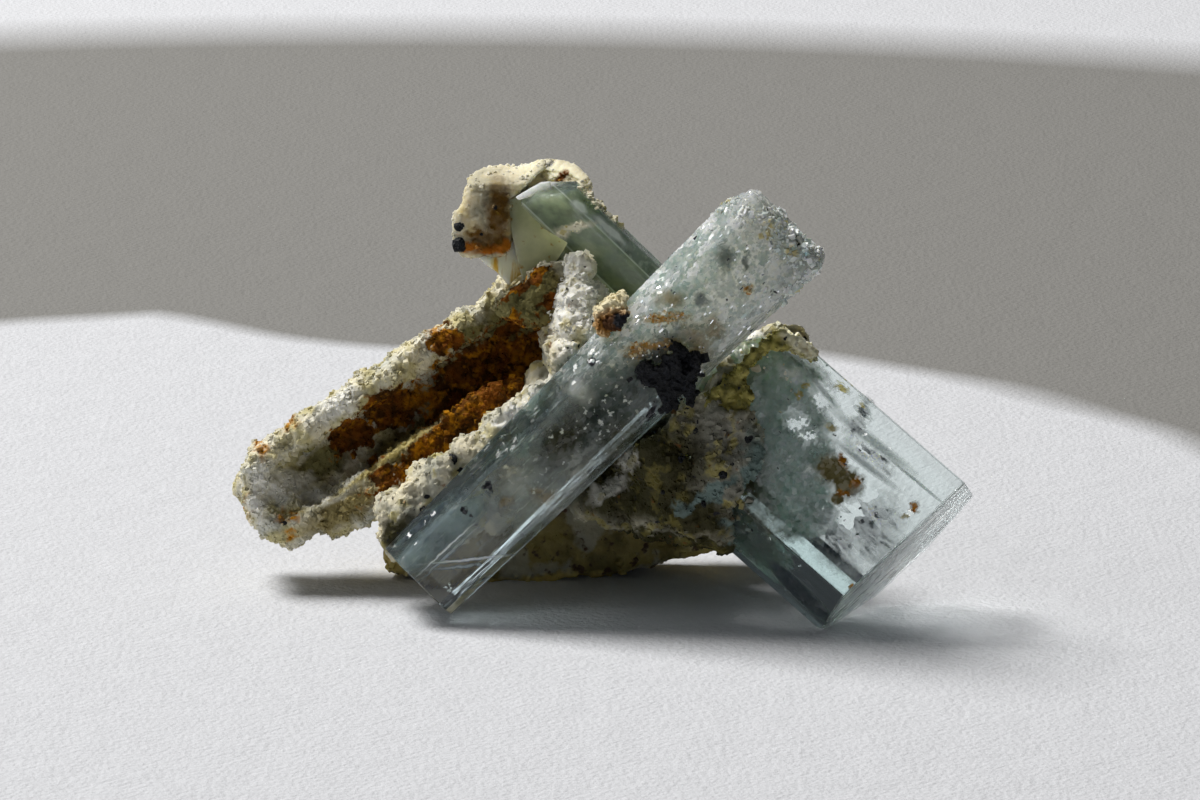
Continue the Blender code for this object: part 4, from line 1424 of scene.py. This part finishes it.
# Painted reflection: a pale stripe of reflected light near the lower end.
THICK_REFLECTED_STRIPE = ((7.85, -5.25, 1.1, 0.32, -42.0),)
# Painted reflection: a dark band on the lower facet where it mirrors dark surroundings.
THICK_DARK_REFLECTION = ((6.6, -6.3, 1.5, 0.26, -44.0),)
THICK_CRUST = (
    (4.3, -1.6, 0.9, 2.2, 10.0),
    (4.5, -4.0, 0.9, 0.6, -40.0),
    (5.6, 1.0, 1.6, 0.35, -30.0),
)
THICK_SILVER = (
    (9.0, -4.1, 0.75, 0.7, 20.0),
    (8.2, -4.2, 0.4, 0.9, -25.0),
)
THICK_LAYERS = (
    ("crumb", 0.35, 0.06, 61.0),
    ("fractal", 0.15, 0.03, 64.0),
)
SEAM_OUTLINE = (
    (3.4, 0.0),
    (4.41, 0.91),
    (5.29, 1.8),
    (5.88, 2.25),
    (6.5, 2.08),
    (7.1, 1.55),
    (6.9, 1.35),
    (6.3, 1.7),
    (5.49, 1.7),
    (4.83, 1.04),
    (4.64, 0.65),
    (4.96, 0.13),
    (4.73, -0.26),
    (3.98, -0.39),
    (3.46, -0.26),
)
SEAM_PALE = ((6.6, 1.85, 0.75, 0.35, -35.0),)
SEAM_FRONT = -4.4
SEAM_DEPTH = 3.0
SEAM_LAYERS = (
    ("crumb", 0.45, 0.22, 71.0),
    ("crumb", 0.2, 0.12, 75.0),
    ("fractal", 0.14, 0.05, 74.0),
)


def thick_skin_finish():
    """Painted shade, frost at the upper end broken by windows, then a painted stripe of reflected light,
    stains, veins, a painted dark reflection and a veil of cells.
    """
    finish, shader = new_finish("thick_crystal_skin")
    board = board_coordinates(shader)
    coords = crystal_coordinates(shader, THICK)
    ragged = frayed(board, 0.45, 0.35, 5.0)
    close = frayed(board, 0.22, 0.18, 6.0)
    fine = cloudy(coords, 0.2, 0.4, 0.62, 4.0, 2.0)
    blotch = cloudy(coords, 0.6, 0.38, 0.62, 4.0, 6.0)
    streak = cloudy(coords, 0.16, 0.45, 0.62, 4.0, 8.0, (1.0, 1.0, 0.25), 0.6)
    near_side = ranged(part_of(coords, "Y"), 0.0, 0.5)
    bits = mosaic(frayed(coords, 0.1, 0.2, 5.0), 0.14, 3.0)
    colour = painted(
        (0.07, 0.13, 0.105),
        ((0.26, 0.42, 0.35), blotch),
        ((0.44, 0.6, 0.5), ranged(part_of(board, "Z"), -4.0, 0.8), 0.75),
        ((0.66, 0.72, 0.7), fine, 0.3),
        ((0.55, 0.62, 0.6), ranged(part_of(bits, "Y"), 0.75, 0.95), 0.6),
        # Painted shade near the long crystal.
        ((0.07, 0.065, 0.03), patches(ragged, THICK_PAINTED_SHADE, 0.5)),
    )
    frost = patches(ragged, THICK_FROST, 0.12)
    glassy = patches(frayed(board, 0.4, 0.12, 9.0), THICK_WINDOWS, 0.15)
    cover = times(frost, ranged(blotch, 0.0, 1.0, 0.65, 0.92))
    cover = times(cover, ranged(glassy, 0.0, 1.0, 1.0, 0.1))
    colour, cover = stained(
        colour,
        cover,
        near_side,
        # Painted reflection: the pale stripe near the lower end.
        (THICK_REFLECTED_STRIPE, (0.62, 0.68, 0.7), 0.8, 0.5, close),
        (THICK_FACET, (0.16, 0.21, 0.18), 0.7, 0.4, ragged),
        (THICK_WHITE, (0.86, 0.9, 0.9), 0.9, 0.5, ragged),
        (THICK_VEINS, (0.36, 0.44, 0.46), 0.75, 0.5, board),
        (THICK_STAIN, (0.22, 0.19, 0.075), 1.0, 0.3, close),
        (THICK_RUST, (0.45, 0.2, 0.008), 1.0, 0.4, close),
        (THICK_YELLOW, (0.46, 0.36, 0.03), 0.9, 0.4, close),
        # Painted reflection: the dark band on the lower facet.
        (THICK_DARK_REFLECTION, (0.04, 0.06, 0.085), 0.9, 0.15, board),
    )
    cells = mosaic(frayed(coords, 0.12, 0.3, 5.0), 0.36, 7.0, (1.0, 1.0, 0.6))
    flash = ranged(part_of(cells, "X"), 0.35, 0.9)
    veil = times(patches(ragged, THICK_VEIL, 0.5), near_side)
    veil = times(veil, ranged(part_of(cells, "Y"), 0.12, 0.25))
    colour = laid_over(colour, laid_over((0.05, 0.075, 0.085), (0.9, 0.96, 0.98), flash), veil)
    veil = times(veil, ranged(streak, 0.0, 1.0, 0.6, 1.0))
    cover = most(cover, veil)
    wired(shader, {"Base Color": colour, "Alpha": cover, "Roughness": 0.2})
    translucent(shader, 1.0, 3.0)
    faceted(shader, bits, 0.6)
    return finish


def frost_end(finish, prism, reach, skew):
    """Growth steps and frost on the slanted flat end of a prism."""
    shader = finish.node_tree.nodes["Principled BSDF"]
    coords = crystal_coordinates(shader, prism)
    across = arithmetic("MULTIPLY", part_of(coords, "X"), -skew, False)
    past = arithmetic("ADD", part_of(coords, "Z"), across, False)
    end = ranged(past, reach - 0.06, reach - 0.03)
    steps = cloudy(coords, 0.25, 0.4, 0.6, 4.0, 12.0, (0.15, 1.0, 1.0))
    rough = times(end, ranged(steps, 0.0, 1.0, 0.12, 0.55))
    colour = laid_over(CLEAR, laid_over((0.55, 0.62, 0.6), CLEAR, steps), end)
    wired(shader, {"Base Color": colour, "Roughness": rough})
    grained(shader, (times(steps, end), 0.06))


def thick_strength(place):
    """Etching fades out towards the clear flat end."""
    return ramp(how_far_along(THICK, place), 4.5, -3.0)


def thick_prism():
    """Prism with a slanted end, cut flat where the long crystal passes and where it stands."""
    bm = bmesh.new()
    corners = [THICK.start + (THICK.across * x + THICK.front * y) * MM for x, y in THICK_SECTION]
    outline = bm.faces.new([bm.verts.new(corner) for corner in corners])
    thickened(bm, outline, THICK.along * (THICK.length + THICK_OVERLENGTH))
    cut(bm, THICK.start + THICK.along * THICK.length, THICK.along - THICK.across * THICK_SKEW)
    cut(bm, LONG.start - LONG.across * (THICK_CLEAR * MM), LONG.across)
    cut(bm, Vector((0.0, 0.0, cad_low[2])), Vector((0.0, 0.0, -1.0)))
    bmesh.ops.recalc_face_normals(bm, faces=bm.faces)
    sharp = [edge for edge in bm.edges if edge.calc_face_angle() > THICK_SHARP_ANGLE]
    bevelled(bm, sharp, THICK_EDGE)
    return bm


def end_plate():
    """The last few hundredths of the prism again, moved out just past its end."""
    bm = thick_prism()
    place = THICK.start + THICK.along * (THICK.length - END_THICKNESS)
    cut(bm, place, THICK.across * THICK_SKEW - THICK.along)
    bmesh.ops.translate(bm, vec=THICK.along * END_SHIFT, verts=bm.verts)
    return bm


def end_finish():
    """Frost of fine growth steps."""
    finish, shader = new_finish("growth_frost")
    coords = crystal_coordinates(shader, THICK)
    steps = cloudy(coords, 0.5, 0.4, 0.6, 4.0, 12.0, (0.5, 1.0, 1.0), 0.5)
    fine = cloudy(coords, 0.12, 0.4, 0.6, 4.0, 3.0)
    colour = laid_over((0.5, 0.58, 0.6), (0.92, 0.96, 0.97), fine)
    wired(shader, {"Base Color": colour, "Alpha": ranged(steps, 0.0, 1.0, 0.1, 0.42), "Roughness": 0.3})
    return finish


def seam_finish():
    """Olive-yellow crust with a pale end and black specks."""
    finish, shader = new_finish("olive_seam")
    board = board_coordinates(shader)
    colour = painted(
        (0.13, 0.115, 0.015),
        ((0.46, 0.4, 0.1), cloudy(board, 0.35, 0.4, 0.6, 4.0, 2.0)),
        ((0.8, 0.76, 0.55), patches(frayed(board, 0.3, 0.3), SEAM_PALE, 0.3)),
        (BLACK, cloudy(board, 0.28, 0.68, 0.71, 2.0, 9.0)),
    )
    wired(shader, {"Base Color": colour, "Roughness": 0.7})
    translucent(shader, 0.6, 0.2)
    return finish


thick_glass = beryl("aquamarine_clear", THICK, (0.45, 0.82, 0.8), 50.0, (0.0, 0.03))
frost_end(thick_glass, THICK, THICK_REACH, THICK_SKEW)
thick_crystal = put_in_scene("thick_crystal", thick_prism(), thick_glass)
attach(thick_crystal, "root")
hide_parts("right_crystal")
thick_crystal.visible_shadow = False
thick_end = put_in_scene("thick_crystal_end", end_plate(), end_finish())
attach(thick_end, "root")
thick_finish = thick_skin_finish()
thick_mesh = packed_mesh("right_crystal")
thick_skin = crusted(
    "thick_crystal_skin", thick_mesh, 0.09, 0.02, THICK_LAYERS, thick_finish, 1, thick_strength
)
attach(thick_skin, "root")

yellow_finish = seam_finish()
seam_mesh = slab(SEAM_OUTLINE, SEAM_FRONT, SEAM_DEPTH)
seam = crusted("olive_seam", seam_mesh, 0.05, 0.0, SEAM_LAYERS, yellow_finish, 2)
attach(seam, "root")
seam_grains = grains("seam_grains", seam, 24.0, 0.04, 0.16, 73, yellow_finish)
crumbs = ("thick_crystal_crumbs", thick_skin, 9.0, 0.05, 0.24, 33, crust_finish)
thick_crumbs = grains(*crumbs, THICK_CRUST, thick_crystal)
flashes = ("thick_crystal_flashes", thick_skin, 5.0, 0.04, 0.16, 35, glint)
silver = grains(*flashes, THICK_SILVER, thick_crystal)
thick_glints = glints("thick_crystal_glints", thick_skin, thick_crystal, THICK, 0.5, 6.5, 90, 11, glint)

# ---------------------------------------------------------------------------------------------
# Upper crystal.
# A green prism with a slanted bright tip, its brightness partly a painted highlight, and a paler twin
# grown against its lower left side, through which the hood's stains glow.

UPPER = crystal((2.99, 2.16, -0.5), (-1.97, 6.91, -2.83))
UPPER_FRONT = (-0.43, 0.71)
# Painted highlight on the slanted tip.
UPPER_CAP_HIGHLIGHT = ((-1.98, 7.02, 0.62, 0.14, 20.0),)
UPPER_LIGHT = (
    (-0.65, 6.32, 0.35, 0.16, -42.0),
    (0.3, 5.6, 0.8, 0.14, -42.0),
)
UPPER_CRUMBS = (
    (-0.82, 5.68, 0.6, 0.14, 10.0),
    (-1.25, 5.48, 0.27, 0.13, 0.0),
)
UPPER_EDGE = (
    (0.75, 5.95, 1.9, 0.22, -36.0),
    (-0.9, 5.65, 0.55, 0.14, 15.0),
)
UPPER_LAYERS = (
    ("crumb", 0.35, 0.015, 61.0),
    ("fractal", 0.15, 0.0075, 64.0),
)
TWIN_OUTLINE = (
    (-3.16, 7.05),
    (-2.7, 6.72),
    (-1.05, 5.2),
    (-1.45, 4.55),
    (-1.95, 3.95),
    (-2.5, 3.75),
    (-2.75, 4.7),
    (-3.0, 6.0),
)
TWIN_FRONT = -2.22
TWIN_TILT = 0.03
TWIN_DEPTH = 1.3
TWIN_EDGE = 0.05
TWIN_PALE = ((0.66, 0.66, 0.4), 0.7, 0.35, 0.65, 3.0, 2.0)
TWIN_PRICKS = ((0.34, 0.18, 0.02), 0.26, 0.58, 0.7, 3.0, 5.0)
FACET_OUTLINE = (
    (-2.78, 6.68),
    (-2.3, 6.97),
    (-1.94, 7.17),
    (-1.63, 7.2),
    (-1.56, 6.92),
    (-2.68, 6.58),
)
FACET_FRONT = -2.75
FACET_DEPTH = 0.4
FACET_FROST = ((0.95, 0.98, 0.96), 0.35, 0.4, 0.6, 3.0, 2.0)


def upper_skin_finish():
    """Green front face between two painted highlight lines on its edges, paler faces beside it, painted
    lighter on the side that faces the light, a painted highlight on the tip, and a few stains.
    """
    finish, shader = new_finish("upper_crystal_skin")
    board = board_coordinates(shader)
    coords = crystal_coordinates(shader, UPPER)
    ragged = frayed(board, 0.2, 0.25, 5.0)
    close = frayed(board, 0.08, 0.3, 5.0)
    blotch = cloudy(coords, 0.6, 0.38, 0.62, 4.0, 6.0)
    fine = cloudy(coords, 0.15, 0.5, 0.7, 4.0, 3.0)
    over = part_of(coords, "X")
    left, right = UPPER_FRONT
    # The faces on the upper right side, painted paler as light where they face the lamp, with frost.
    side = ranged(over, left + 0.03, left - 0.03)
    # Painted highlights: bright lines along the front face's two edges.
    lines = []
    for place in UPPER_FRONT:
        near = arithmetic("ABSOLUTE", arithmetic("SUBTRACT", over, place, False))
        lines.append(ranged(near, 0.035, 0.015))
    colour = painted(
        (0.15, 0.2, 0.14),
        ((0.24, 0.3, 0.205), blotch),
        # Upper right faces painted paler as light.
        (laid_over((0.22, 0.29, 0.25), (0.44, 0.52, 0.48), fine), side),
        ((0.3, 0.34, 0.22), ranged(over, right - 0.03, right + 0.03)),
        # Painted highlight lines on the edges.
        ((0.5, 0.58, 0.5), most(*lines)),
    )
    cover = ranged(blotch, 0.0, 1.0, 0.65, 0.85)
    cover = arithmetic("SUBTRACT", cover, times(side, 0.35))
    colour, cover = stained(
        colour,
        cover,
        None,
        # Painted highlight on the tip.
        (UPPER_CAP_HIGHLIGHT, (0.84, 0.89, 0.86), 0.85, 0.3, close),
        (UPPER_LIGHT, (0.7, 0.78, 0.78), 0.75, 0.4, close),
        (UPPER_CRUMBS, (0.8, 0.76, 0.62), 0.95, 0.4, ragged),
    )
    wired(shader, {"Base Color": colour, "Alpha": cover, "Roughness": 0.2})
    translucent(shader, 1.0, 3.5)
    grained(shader, (fine, 0.01))
    return finish


upper_glass = beryl("green_aquamarine", UPPER, (0.42, 0.72, 0.52), 190.0, (0.02, 0.08))
upper_crystal = crisp("upper_crystal", "upper_left_crystal", upper_glass)
upper_crystal.visible_shadow = False
upper_finish = upper_skin_finish()
upper_mesh = packed_mesh("upper_left_crystal")
upper_skin = crusted("upper_crystal_skin", upper_mesh, 0.07, 0.02, UPPER_LAYERS, upper_finish, 1)
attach(upper_skin, "root")
upper_skin.visible_shadow = False
twin_finish = stone_finish("upper_twin", 0.2, (1.0, 1.5), (0.46, 0.48, 0.27), TWIN_PALE, TWIN_PRICKS)
twin_mesh = slab(TWIN_OUTLINE, TWIN_FRONT, TWIN_DEPTH, TWIN_TILT)
bevelled(twin_mesh, list(twin_mesh.edges), TWIN_EDGE)
twin = put_in_scene("upper_twin", twin_mesh, twin_finish)
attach(twin, "root")
facet_finish = stone_finish("bright_facet", 0.15, (1.0, 1.5), (0.55, 0.64, 0.62), FACET_FROST)
facet_mesh = slab(FACET_OUTLINE, FACET_FRONT, FACET_DEPTH)
bevelled(facet_mesh, list(facet_mesh.edges), CRYSTAL_EDGE)
facet = put_in_scene("upper_facet", facet_mesh, facet_finish)
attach(facet, "root")
upper_grains = grains("upper_crystal_crumbs", upper_skin, 30.0, 0.04, 0.2, 31, crust_finish, UPPER_EDGE)
